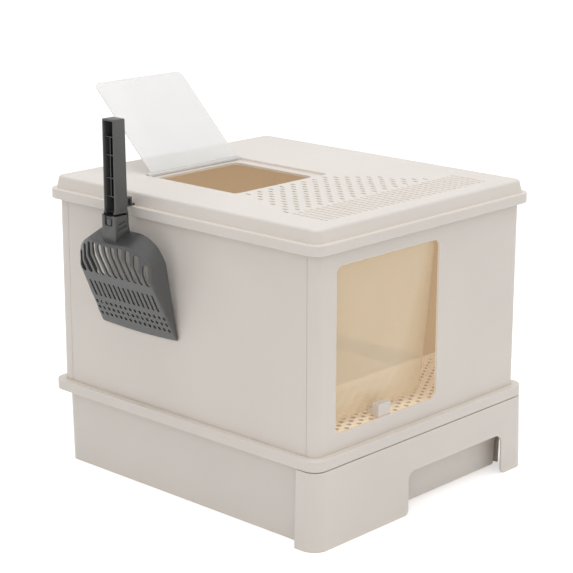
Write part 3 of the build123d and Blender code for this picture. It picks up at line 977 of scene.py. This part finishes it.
@dataclass
class Flap:
    """A clear sheet on a hollow barrel, which turns on a rod along X.

    Attributes:
        name: Name of the piece.
        node: CAD node that it stands for.
        axis: Place of the rod (y, z).
        turn: Turn about X from hanging straight down, in degrees.
        lift: Offset of the sheet from the rod, on its own normal.
        heels: Whether it has two stop heels on the far side of the rod.
        thickness: Thickness of the sheet.
        corner: Radius of its free corners.
        barrel: Radius of the barrel.
        bore: Radius of its hole.
        barrel_sides: Number of its sides.
        sunk: Share of the barrel's radius that the sheet starts below the rod.
        heel_width: Width of a heel along X.
        heel_reach: Start and end of a heel, from the rod along Y.
        heel_thickness: Thickness of a heel.
    """

    name: str
    node: str
    axis: tuple[float, float]
    turn: float
    lift: float = 0.0
    heels: bool = False
    thickness: float = 0.0015
    corner: float = 0.009
    barrel: float = 0.0026
    bore: float = 0.00155
    barrel_sides: int = 40
    sunk: float = 0.6
    heel_width: float = 0.012
    heel_reach: tuple[float, float] = (0.0020, 0.0058)
    heel_thickness: float = 0.002

    def __post_init__(self) -> None:
        """Find the ends and the length of the sheet from the CAD piece."""
        low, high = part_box(self.node)
        self.left, self.right = low.x, high.x
        sine, cosine = math.sin(math.radians(self.turn)), math.cos(math.radians(self.turn))
        half = self.thickness / 2
        if cosine > 0:
            self.length = (self.axis[1] - low.z - half * sine) / cosine
        else:
            self.length = (high.z - self.axis[1] - (self.lift + half) * sine) / -cosine

    def build(self) -> Bench:
        """Model the sheet, the barrel and the heels.

        Returns:
            The bench with the piece on it.
        """
        sheet = self._sheet()
        sheet.join([self._barrel(), *(self._heels() if self.heels else [])])
        sheet.soften(0.00025)
        return sheet

    def _sheet(self) -> Bench:
        """The sheet with its rounded corners, turned into place."""
        half = self.thickness / 2
        sheet = Bench.block(
            self.name,
            (self.left, self.lift - half, -self.length),
            (self.right, self.lift + half, -self.barrel * self.sunk),
        )

        def free_corner(middle: Vector) -> bool:
            """Whether an edge through the thickness stands at a free corner."""
            side = min(abs(middle.x - self.left), abs(middle.x - self.right))
            return max(side, abs(middle.z + self.length), abs(middle.y - self.lift)) < NEAR

        with sheet.editing():
            sheet.round_edges(free_corner, self.corner, 8)
        sheet.piece.rotation_euler = (math.radians(self.turn), 0.0, 0.0)
        sheet.piece.location = (0.0, *self.axis)
        sheet.settle()
        return sheet

    def _barrel(self) -> Bench:
        """The hollow barrel round the rod."""
        middle = ((self.left + self.right) / 2, *self.axis)
        barrel = Bench.round_bar(
            f"{self.name}_barrel", middle, self.barrel, self.right - self.left, self.barrel_sides
        )
        with barrel.editing():
            barrel.pick(
                Part.FACE, lambda spot: min(abs(spot.x - self.left), abs(spot.x - self.right)) < NEAR
            )
            bpy.ops.mesh.inset(thickness=self.barrel - self.bore)
            bpy.ops.mesh.bridge_edge_loops()
        return barrel

    def _heels(self) -> list[Bench]:
        """The two stop heels, one at each end."""
        near, far = (self.axis[0] + reach for reach in self.heel_reach)
        half = self.heel_thickness / 2
        return [
            Bench.block(
                f"{self.name}_heel",
                (start, near, self.axis[1] - half),
                (start + self.heel_width, far, self.axis[1] + half),
            )
            for start in (self.left, self.right - self.heel_width)
        ]


@dataclass
class SwingDoor(Assembly):
    """The clear door on its rod, between two clips.

    Attributes:
        lean: Angle of the hanging door, whose foot stands on the sill, in degrees.
    """

    lean: float = 5.5

    def build(self) -> None:
        """Model the door."""
        self.flap = Flap("swing_door", "door_flap", self.axis("door_swing"), self.lean).build()

    def dress(self) -> None:
        """Give the pieces their finishes."""
        self.flap.hand_over(self.palette.door, Slot.CLEAR, Body.DOOR, "door_flap")
        self.carry(self.palette.door, "door_hinge_clip_left", "door_hinge_clip_right")
        self.carry(self.palette.rod, "door_hinge_rod")


@dataclass
class TopExit(Assembly):
    """The clear flap of the top exit, folded back on its rod.

    Attributes:
        turn: Turn of the flap from hanging straight down, in degrees.
        lift: Offset of the sheet from the rod, which lays the closed flap flush.
    """

    turn: float = 134.0
    lift: float = 0.00185

    def build(self) -> None:
        """Model the flap."""
        axis = self.axis("exit_swing")
        self.flap = Flap("exit_cover", "exit_flap", axis, self.turn, self.lift, heels=True).build()

    def dress(self) -> None:
        """Give the pieces their finishes."""
        self.flap.hand_over(self.palette.exit, Slot.CLEAR, Body.EXIT, "exit_flap")
        self.carry(self.palette.exit, "exit_hinge_clip_left", "exit_hinge_clip_right")
        self.carry(self.palette.rod, "exit_hinge_rod")


@dataclass
class ScoopHandle:
    """The handle of the scoop: a ribbed channel with a tab that hangs on the hook.

    Attributes:
        width: Width of the handle.
        depth: Its depth along X.
        standoff: Distance of its back from the flange of the lid.
        taper: How much less deep it is at its top.
        wall: Thickness of the channel's walls.
        edge: Radius of its outer edges.
        plug: Height of the solid foot, which stands in the socket.
        rib_rises: Heights of the ribs above the hook.
        rib: Thickness of a rib and of the spine.
        rib_setback: Depth of the ribs below the front edges.
        tab_width: Width of the tab.
        tab: Thickness of the tab.
        tab_drop: How far its tip reaches down behind the hook's tip.
        latch_width: Width of the latch in the socket's notch.
        latch_height: Height of the latch.
    """

    width: float = 0.021
    depth: float = 0.0205
    standoff: float = 0.017
    taper: float = 0.002
    wall: float = 0.0022
    edge: float = 0.001
    plug: float = 0.018
    rib_rises: tuple[float, ...] = (0.0081, 0.0309, 0.0589, 0.0812)
    rib: float = 0.0011
    rib_setback: float = 0.003
    tab_width: float = 0.009
    tab: float = 0.0025
    tab_drop: float = 0.0073
    latch_width: float = 0.0064
    latch_height: float = 0.0085

    def __post_init__(self) -> None:
        """Find the places of the handle from the CAD pieces."""
        low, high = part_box("scoop_handle")
        hook_low, hook_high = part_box("scoop_hook")
        self.latch_front, self.tab_end = low.x, high.x
        self.foot, self.head = low.z, high.z
        self.middle = (low.y + high.y) / 2
        self.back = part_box("lid")[0].x - self.standoff
        self.front = self.back - self.depth
        self.plug_top = self.foot + self.plug
        self.hook_top = hook_high.z
        self.hook_middle = (hook_low.y + hook_high.y) / 2

    def room(self) -> Room:
        """The hollow of the channel behind the edges of the ribs, which takes painted shade.

        Returns:
            The room.
        """
        near, far = self.front + self.rib_setback * 1.1, self.back - self.wall
        return Room(
            half_x=(far - near) / 2,
            half_y=self.width / 2 - self.wall,
            low=self.plug_top + self.wall,
            high=self.head - self.wall,
            middle=((near + far) / 2, self.middle),
            radius=0.0005,
        )

    def build(self) -> Bench:
        """Model the handle.

        Returns:
            The bench with the piece on it.
        """
        handle = self._channel()
        handle.join([*self._ribs(), self._tab(), self._latch()])
        handle.soften(0.0003)
        return handle

    def _channel(self) -> Bench:
        """The body with its rounded edges, hollowed from the front above the socket."""
        half = self.width / 2
        body = Bench.block(
            "scoop_grip",
            (self.front, self.middle - half, self.foot), (self.back, self.middle + half, self.head),
        )

        def outer_edge(middle: Vector) -> bool:
            """Whether an edge is at the top or stands at a corner."""
            upright = abs(middle.z - (self.foot + self.head) / 2) < NEAR
            return abs(middle.z - self.head) < NEAR or upright

        with body.editing():
            self._taper(body, self.back, self.head)
            body.round_edges(outer_edge, self.edge, 4)
        inner = half - self.wall
        channel = Bench.block(
            "channel",
            (self.front - self.wall, self.middle - inner, self.plug_top + self.wall),
            (self.back - self.wall, self.middle + inner, self.head - self.wall),
        )
        with channel.editing():
            self._taper(channel, self.back - self.wall, self.head - self.wall)
        body.carve(channel)
        return body

    def _taper(self, block: Bench, back: float, top: float) -> None:
        """Bring the top of a block's back forward."""
        block.pick(Part.VERT, lambda spot: spot.x > back - NEAR and spot.z > top - NEAR)
        bpy.ops.transform.translate(value=(-self.taper, 0.0, 0.0))

    def _ribs(self) -> list[Bench]:
        """The cross ribs and the spine that joins them."""
        sunk = 0.0002
        near, far = self.front + self.rib_setback, self.back - self.wall + sunk
        inner, half = self.width / 2 - self.wall + sunk, self.rib / 2
        heights = [self.hook_top + rise for rise in self.rib_rises]
        ribs = [
            Bench.block(
                "rib", (near, self.middle - inner, height - half), (far, self.middle + inner, height + half)
            )
            for height in heights
        ]
        spine = Bench.block(
            "spine", (near, self.middle - half, heights[0]), (far, self.middle + half, heights[-1])
        )
        return [*ribs, spine]

    def _tab(self) -> Bench:
        """The tab over the hook, with its tip turned down."""
        half, tip = self.tab_width / 2, self.tab_end - self.tab
        tab = Bench.block(
            "tab",
            (self.back - self.wall / 2, self.hook_middle - half, self.hook_top),
            (self.tab_end, self.hook_middle + half, self.hook_top + self.tab),
        )
        with tab.editing():
            tab.cut((tip, 0.0, 0.0), (1.0, 0.0, 0.0))
            tab.pick(Part.FACE, lambda spot: abs(spot.z - self.hook_top) < NEAR and spot.x > tip)
            bpy.ops.mesh.extrude_region_move(
                TRANSFORM_OT_translate={"value": (0.0, 0.0, -self.tab_drop)}
            )
        return tab

    def _latch(self) -> Bench:
        """The latch that snaps into the socket's notch, with a sloping top."""
        half, low = self.latch_width / 2, self.plug_top - self.latch_height
        latch = Bench.block(
            "latch",
            (self.latch_front, self.middle - half, low),
            (self.front + self.edge / 4, self.middle + half, self.plug_top),
        )
        with latch.editing():
            latch.round_edges(
                lambda spot: max(abs(spot.z - self.plug_top), abs(spot.x - self.latch_front)) < NEAR,
                (self.front - self.latch_front) * 0.6, 3,
            )
        return latch


@dataclass(frozen=True)
class SlotRow:
    """A row of upright slots in the sieve.

    Attributes:
        count: Number of slots.
        pitch: Distance between their middles.
        width: Width of a slot.
        start: Height of its foot above the lip.
        end: Height of its top above the lip; without it, the slot runs to the crease of the bowl.
    """

    count: int
    pitch: float
    width: float
    start: float
    end: Optional[float] = None


@dataclass(frozen=True)
class Recess:
    """A slanting finger recess in the side of the socket.

    Attributes:
        length: Its length.
        height: Its height.
        drop: Depth of its middle below the top of the socket.
        shift: Place of its middle behind the front of the socket.
    """

    length: float
    height: float
    drop: float
    shift: float


@dataclass
class ScoopHead:
    """The head of the scoop: a sieve plate rolled over into a roof, with the handle's socket.

    Attributes:
        handle: The handle, which the socket fits.
        half_width: Half the width at the lip and the rim.
        front_half_width: Half the width at the front corners.
        bulge: How far the front swells out between its corners.
        bulge_sides: Number of sides of the round bar that shapes the swell.
        crown: Radius of the shoulders, seen square to the roof.
        roof_slope: Slope of the roof towards the box, in degrees.
        plate_lean: Lean of the sieve plate, in degrees from upright.
        plate_bend: Distance from the corner over which the plate turns upright.
        rim_lean: Lean of the open rim, in degrees from upright.
        lip: Thickness of the plate at the lip.
        lip_drop: How far the lip swells down in the middle.
        lip_facets: Number of flat cuts that make the swell.
        wall: Thickness of the walls.
        rise: Height of the rim's top above the lip.
        base: Gap between the rim's top and the foot of the handle.
        spare: How far the body runs on past the open side before that is cut off.
        voxel: Cell size of the remesh that turns the body into a moulded shape.
        smoothing: Number of smoothing passes over its corners.
        long_row: The long slots.
        short_row: The short slots.
        slot_land: Distance of the long slots from the crease.
        hole_columns: Number of holes in a row.
        hole_rows: Number of rows.
        hole_pitch: Distance between holes along Y and upwards.
        hole_top: Height of the top row above the lip.
        hole_radius: Radius of a hole.
        hole_sides: Number of sides of a hole, and of the two ends of a slot together.
        fit: Gap between the handle and the socket.
        socket_wall: Thickness of the socket's walls.
        socket_edge: Radius of its front corners.
        ear: How far the socket's cheeks rise above its front.
        ear_shift: Place of the ears' tips behind the front.
        back_step: Gap between the handle's back and the cheeks, at the top.
        notch_width: Width of the notch for the latch.
        notch_depth: Its depth.
        notch_radius: Radius of its lower corners.
        recesses: The finger recesses in each cheek.
        recess_slope: Their slope, in degrees.
        recess_depth: Their depth.
    """

    handle: ScoopHandle
    half_width: float = 0.069
    front_half_width: float = 0.065
    bulge: float = 0.015
    bulge_sides: int = 240
    crown: float = 0.044
    roof_slope: float = 20.5
    plate_lean: float = 25.8
    plate_bend: float = 0.0095
    rim_lean: float = 9.4
    lip: float = 0.0018
    lip_drop: float = 0.003
    lip_facets: int = 9
    wall: float = 0.0022
    rise: float = 0.1318
    base: float = 0.0003
    spare: float = 0.03
    voxel: float = 0.0015
    smoothing: int = 5
    long_row: SlotRow = SlotRow(11, 0.0116, 0.0078, 0.073)
    short_row: SlotRow = SlotRow(14, 0.0087, 0.0039, 0.038, 0.061)
    slot_land: float = 0.0025
    hole_columns: int = 15
    hole_rows: int = 3
    hole_pitch: tuple[float, float] = (0.0088, 0.0085)
    hole_top: float = 0.0288
    hole_radius: float = 0.0024
    hole_sides: int = 12
    fit: float = 0.0003
    socket_wall: float = 0.0018
    socket_edge: float = 0.0012
    ear: float = 0.004
    ear_shift: float = 0.015
    back_step: float = 0.0025
    notch_width: float = 0.014
    notch_depth: float = 0.009
    notch_radius: float = 0.002
    recesses: tuple[Recess, ...] = (
        Recess(0.011, 0.0022, 0.0055, 0.0100),
        Recess(0.014, 0.0030, 0.0120, 0.0105),
    )
    recess_slope: float = 15.0
    recess_depth: float = 0.0014

    def __post_init__(self) -> None:
        """Find the places of the head from the CAD piece and the handle."""
        low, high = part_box("scoop_head")
        self.front, self.lip_x = low.x, high.x
        self.top = self.handle.foot - self.base
        self.lip_z = self.top - self.rise
        self.rim_x = self.lip_x - self.rise * math.tan(math.radians(self.rim_lean))
        self.middle = self.handle.middle
        slope = math.radians(self.roof_slope)
        self.roof_normal = Vector((-math.sin(slope), 0.0, math.cos(slope)))
        self.rim_top = Vector((self.rim_x, self.middle, self.top))

    def build(self) -> Bench:
        """Model the bowl with its socket.

        Returns:
            The bench with the piece on it.
        """
        bowl = self._bowl()
        bowl.modify("BEVEL", width=0.0003, segments=2, limit_method="ANGLE", angle_limit=math.radians(55))
        socket = self._socket()
        socket.modify("BEVEL", width=0.0004, segments=2, limit_method="ANGLE", angle_limit=math.radians(40))
        bowl.join([socket])
        bowl.take_up()
        bpy.ops.object.shade_smooth_by_angle(angle=math.radians(40))
        return bowl

    def _roof(self, x: float) -> float:
        """Height of the roof on the middle plane, at a place along X."""
        return self.top - (self.rim_x - x) * math.tan(math.radians(self.roof_slope))

    def _crease(self, offset: float) -> float:
        """Height of the crease under the roof, at a distance from the middle."""
        over = max(offset - (self.half_width - self.crown), 0.0)
        swell = self.bulge * (offset / self.front_half_width) ** 2
        fall = self.crown - math.sqrt(max(self.crown ** 2 - over ** 2, 0.0))
        return self._roof(self.front + swell) - fall / self.roof_normal.z

    def _profile(self) -> Bench:
        """The body seen from the side: a leaning plate that turns upright under a sloping roof."""
        wide = self.half_width + self.crown
        side = Bench.block(
            "sieve_scoop",
            (self.front, self.middle - wide, self.lip_z - self.spare),
            (self.lip_x + self.spare, self.middle + wide, self.top + self.spare),
        )
        lean = math.radians(self.plate_lean)
        foot = self.lip_x - self.lip
        bend_z = self.lip_z + (foot - self.front) / math.tan(lean)
        with side.editing():
            side.cut((foot, 0.0, self.lip_z), (-math.cos(lean), 0.0, -math.sin(lean)), keep_below=True)
            side.cut(self.rim_top, self.roof_normal, keep_below=True)
            side.round_edges(
                lambda middle: max(abs(middle.x - self.front), abs(middle.z - bend_z)) < NEAR,
                self.plate_bend, 6,
            )
        return side

    def _outline(self) -> Bench:
        """The body seen square to the roof: straight sides under round shoulders."""
        face = Bench.tilted_block(
            "scoop_outline",
            (-self.rise, -self.half_width, -2 * self.rise), (self.rise, self.half_width, 0.0),
            self.rim_top, self.roof_slope,
        )
        lean = math.radians(self.roof_slope)
        along = Vector((math.cos(lean), 0.0, math.sin(lean)))

        def shoulder(middle: Vector) -> bool:
            """Whether an edge runs along the roof at one of its sides."""
            place = middle - self.rim_top
            flat = abs(place.dot(self.roof_normal)) + abs(place.dot(along))
            return flat < NEAR and abs(abs(place.y) - self.half_width) < NEAR

        with face.editing():
            face.round_edges(shoulder, self.crown, 14)
        return face

    def _plan(self) -> Bench:
        """The body seen from above: sides that spread a little behind a bulging front."""
        corner = self.front + self.bulge
        start, end = self.front - self.bulge, self.lip_x + 2 * self.spare
        rate = (self.half_width - self.front_half_width) / (self.lip_x - corner)
        near = self.front_half_width - rate * (corner - start)
        far = self.front_half_width + rate * (end - corner)
        low, high = self.lip_z - 2 * self.spare, self.top + 2 * self.spare
        plan = Bench.block(
            "scoop_plan", (start, self.middle - near, low), (end, self.middle + near, high)
        )
        with plan.editing():
            plan.pick(Part.VERT, lambda spot: spot.x > end - NEAR)
            bpy.ops.transform.resize(
                value=(1.0, far / near, 1.0), center_override=(end, self.middle, self.top)
            )
        radius = (self.front_half_width ** 2 + self.bulge ** 2) / (2 * self.bulge)
        middle = (self.front + radius, self.middle, (low + high) / 2)
        swell = Bench.round_bar(
            "scoop_bulge", middle, radius, high - low, self.bulge_sides, Along.Z
        )
        plan.carve(swell, "INTERSECT")
        return plan

    def _bowl(self) -> Bench:
        """The bowl: body, softened corners, open back, walls, slots and holes."""
        bowl = self._profile()
        bowl.carve(self._outline(), "INTERSECT")
        bowl.carve(self._plan(), "INTERSECT")
        bowl.modify("REMESH", mode="VOXEL", voxel_size=self.voxel)
        bowl.modify("SMOOTH", factor=0.5, iterations=self.smoothing)
        lean = math.radians(self.rim_lean)
        bend = (self.half_width ** 2 + self.lip_drop ** 2) / (2 * self.lip_drop)
        lip = Vector((self.lip_x, self.middle, self.lip_z)) - self.roof_normal * self.lip_drop
        with bowl.editing():
            bowl.cut(self.rim_top, (math.cos(lean), 0.0, math.sin(lean)), keep_below=True, fill=False)
            bowl.cut((self.lip_x, 0.0, 0.0), (1.0, 0.0, 0.0), keep_below=True, fill=False)
            for offset in spread(self.lip_facets, 2 * self.half_width / self.lip_facets):
                tilt = math.asin(offset / bend)
                point = lip + self.roof_normal * bend * (1 - math.cos(tilt)) + Vector((0.0, offset, 0.0))
                outward = Vector((0.0, math.sin(tilt), 0.0)) - self.roof_normal * math.cos(tilt)
                bowl.cut(point, outward, keep_below=True, fill=False)
        bowl.modify("SOLIDIFY", thickness=self.wall, offset=-1.0)
        sieve = self._sieve()
        sieve[0].join(sieve[1:])
        bowl.carve(sieve[0])
        return bowl

    def _slot(self, name: str, y: float, width: float, low: float, high: float) -> Bench:
        """One round-ended slot, as a bar along X."""
        radius = width / 2
        bar = self._through(name, y, low + radius, radius)
        with bar.editing():
            bar.pick(Part.VERT, lambda spot: spot.z > low + radius + NEAR)
            bpy.ops.transform.translate(value=(0.0, 0.0, high - low - width))
        return bar

    def _through(self, name: str, y: float, z: float, radius: float) -> Bench:
        """A round bar along X through the plate."""
        near, far = self.front - self.half_width / 2, self.lip_x
        middle = ((near + far) / 2, self.middle + y, z)
        return Bench.round_bar(name, middle, radius, far - near, self.hole_sides)

    def _sieve(self) -> list[Bench]:
        """All the slots and holes."""
        row = self.long_row
        cutters = []
        for number, offset in enumerate(spread(row.count, row.pitch)):
            crease = self._crease(abs(offset) + row.width / 2)
            cutters.append(self._slot(
                f"long_{number}", offset, row.width, self.lip_z + row.start, crease - self.slot_land
            ))
        row = self.short_row
        short = self._slot("short", 0.0, row.width, self.lip_z + row.start, self.lip_z + row.end)
        cutters.append(short.copies([(0.0, offset, 0.0) for offset in spread(row.count, row.pitch)]))
        across, upward = self.hole_pitch
        for number in range(self.hole_rows):
            height = self.lip_z + self.hole_top - number * upward
            hole = self._through(f"hole_{number}", 0.0, height, self.hole_radius)
            places = spread(self.hole_columns, across)
            cutters.append(hole.copies([(0.0, offset, 0.0) for offset in places]))
        return cutters

    def _socket(self) -> Bench:
        """The square socket with its notch and its finger recesses."""
        handle = self.handle
        front = handle.front - self.fit - self.socket_wall
        half = handle.width / 2 + self.fit + self.socket_wall
        rim, peak = handle.plug_top, handle.plug_top + self.ear
        sunk = self.rim_top - Vector((0.0, 0.0, self.wall / 2))
        socket = Bench.block(
            "socket",
            (front, self.middle - half, self._roof(front) - self.wall),
            (self.rim_x, self.middle + half, peak),
        )
        rising = Vector((-self.ear, 0.0, self.ear_shift))
        back = handle.back - self.back_step
        falling = Vector((self.ear, 0.0, back - front - self.ear_shift))
        steep = Vector((rim - sunk.z, 0.0, self.rim_x - back))

        def outer_corner(middle: Vector) -> bool:
            """Whether an edge stands at a front corner."""
            return abs(middle.x - front) < NEAR and abs(abs(middle.y - self.middle) - half) < NEAR

        with socket.editing():
            socket.cut((front, 0.0, rim), rising, keep_below=True)
            socket.cut((back, 0.0, rim), falling, keep_below=True)
            socket.cut((back, 0.0, rim), steep, keep_below=True)
            socket.cut(sunk, -self.roof_normal, keep_below=True)
            socket.round_edges(outer_corner, self.socket_edge, 3)
        bore = handle.width / 2 + self.fit
        socket.carve(Bench.block(
            "socket_bore",
            (handle.front - self.fit, self.middle - bore, handle.foot),
            (handle.back + self.fit, self.middle + bore, peak + self.ear),
        ))
        socket.carve(self._notch(front, rim))
        for side in (-1, 1):
            for recess in self.recesses:
                socket.carve(self._recess(recess, front, self.middle + side * half, rim))
        return socket

    def _notch(self, front: float, rim: float) -> Bench:
        """Cutter of the notch for the latch, open at the top."""
        half, floor = self.notch_width / 2, rim - self.notch_depth
        notch = Bench.block(
            "socket_notch",
            (front - self.ear, self.middle - half, floor),
            (self.handle.front, self.middle + half, rim + 2 * self.ear),
        )

        def lower_corner(middle: Vector) -> bool:
            """Whether an edge along X stands at a lower corner."""
            return abs(middle.z - floor) < NEAR and abs(abs(middle.y - self.middle) - half) < NEAR

        with notch.editing():
            notch.round_edges(lower_corner, self.notch_radius, 4)
        return notch

    def _recess(self, recess: Recess, front: float, cheek: float, rim: float) -> Bench:
        """Cutter of one finger recess in a cheek."""
        half, depth = recess.length / 2, self.recess_depth
        return Bench.tilted_block(
            "socket_recess",
            (-half, -depth, -recess.height / 2), (half, depth, recess.height / 2),
            (front + recess.shift, cheek, rim - recess.drop), self.recess_slope,
        )


@dataclass
class Scoop(Assembly):
    """The litter scoop, hung on the lid's hook."""

    def build(self) -> None:
        """Model the head and the handle."""
        grip = ScoopHandle()
        self.head, self.handle = ScoopHead(grip).build(), grip.build()
        # Painted shade inside the channel: its faces take nearly all the black deep colour.
        self.channel = replace(
            self.palette.charcoal, name="charcoal_handle", room=grip.room(), room_share=0.99
        )

    def dress(self) -> None:
        """Give the pieces their finishes."""
        self.head.hand_over(self.palette.scoop, Slot.SCOOP, Body.SCOOP, "scoop_head")
        self.handle.hand_over(self.channel.material(), Slot.SCOOP, Body.SCOOP, "scoop_handle")


@dataclass(frozen=True)
class Lamp:
    """One square soft lamp.

    Attributes:
        name: Its name.
        place: Where it hangs.
        size: Side of the square.
        power: Its power in watts.
    """

    name: str
    place: Triple
    size: float
    power: float


@dataclass
class Studio:
    """Floor, world, lamps and camera.

    Attributes:
        azimuth: Angle of the camera round the box, in degrees from -Y.
        elevation: Its angle above the floor, in degrees.
        roll: Its tilt, in degrees.
        distance: Its distance from the target.
        target: What it looks at.
        lens: Focal length in millimetres.
        floor_size: Side of the floor.
        sky: Strength of the world on the box.
        sky_colour: Colour of the world on the box.
        aim: What the lamps point at.
        lamps: The lamps.
    """

    azimuth: float = -47.01
    elevation: float = 15.24
    roll: float = 0.13
    distance: float = 2.321
    target: Triple = (-0.003, 0.0, 0.2412)
    lens: float = 112.2
    floor_size: float = 24.0
    sky: float = 0.62
    sky_colour: Colour = (1.0, 0.985, 0.97)
    aim: Triple = (0.0, 0.0, 0.2)
    lamps: tuple[Lamp, ...] = (
        Lamp("overhead", (0.0, -0.1, 2.3), 2.2, 17.5),
        Lamp("front_left", (-2.2, -1.6, 1.5), 1.6, 5.4),
        Lamp("right", (2.0, -1.8, 1.3), 1.4, 3.6),
    )

    def build(self) -> None:
        """Make everything round the box."""
        bpy.context.scene.view_settings.view_transform = "Standard"
        clear_selection()
        bpy.ops.mesh.primitive_grid_add(x_subdivisions=24, y_subdivisions=24, size=self.floor_size)
        self.floor = bpy.context.active_object
        self.floor.name = "studio_floor"
        for lamp in self.lamps:
            self._lamp(lamp)
        self._camera()

    def dress(self) -> None:
        """Paint the floor and the world."""
        dress(self.floor, FloorPaint("floor_paint", (0.92, 0.92, 0.92), 0.5).material())
        bpy.context.scene.world = self._world()
        LOG.info("floor, world, %d lamps and camera in place", len(self.lamps))

    def _world(self) -> bpy.types.World:
        """A pale world that reads as white to the camera."""
        graph = NodeGraph(bpy.data.worlds.new("pale_room"))
        colour = (*self.sky_colour, OPAQUE)
        light = graph.node("ShaderNodeBackground", inputs={"Color": colour, "Strength": self.sky})
        white = graph.node("ShaderNodeBackground", inputs={"Color": WHITE, "Strength": 1.0})
        blend = graph.node(
            "ShaderNodeMixShader", inputs={0: graph.shown(), 1: light.outputs[0], 2: white.outputs[0]}
        )
        return graph.finish(blend.outputs[0])

    def _lamp(self, lamp: Lamp) -> None:
        """Hang one lamp."""
        data = bpy.data.lights.new(lamp.name, "AREA")
        data.size = lamp.size
        data.energy = lamp.power
        hung = bpy.data.objects.new(lamp.name, data)
        hung.location = lamp.place
        hung.rotation_euler = (Vector(self.aim) - Vector(lamp.place)).to_track_quat("-Z", "Y").to_euler()
        bpy.context.scene.collection.objects.link(hung)

    def _camera(self) -> None:
        """Stand the camera where the picture was taken from."""
        azimuth, elevation, roll = (
            math.radians(angle) for angle in (self.azimuth, self.elevation, self.roll)
        )
        back = Vector((
            math.sin(azimuth) * math.cos(elevation),
            -math.cos(azimuth) * math.cos(elevation),
            math.sin(elevation),
        ))
        right = Vector((math.cos(azimuth), math.sin(azimuth), 0.0))
        up = back.cross(right)
        side = right * math.cos(roll) + up * math.sin(roll)
        top = up * math.cos(roll) - right * math.sin(roll)
        data = bpy.data.cameras.new("camera")
        data.lens = self.lens
        data.sensor_width = 36.0
        data.clip_end = 60.0
        camera = bpy.data.objects.new("camera", data)
        turn = Matrix((side, top, back)).transposed().to_4x4()
        camera.matrix_world = Matrix.Translation(Vector(self.target) + back * self.distance) @ turn
        bpy.context.scene.collection.objects.link(camera)
        bpy.context.scene.camera = camera


def main() -> None:
    """Load the frame, build and dress every sub-assembly, and light the scene."""
    logging.basicConfig(level=logging.INFO, format="%(name)s: %(message)s")
    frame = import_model()
    clear_selection()
    palette = Palette(Room.of_frame())
    for kind in (Housing, Walls, Drawer, Lid, SwingDoor, TopExit, Scoop):
        group = kind(frame, palette)
        group.build()
        group.dress()
        LOG.info("%s done", kind.__name__)
    studio = Studio()
    studio.build()
    studio.dress()


if __name__ == "__main__":
    main()
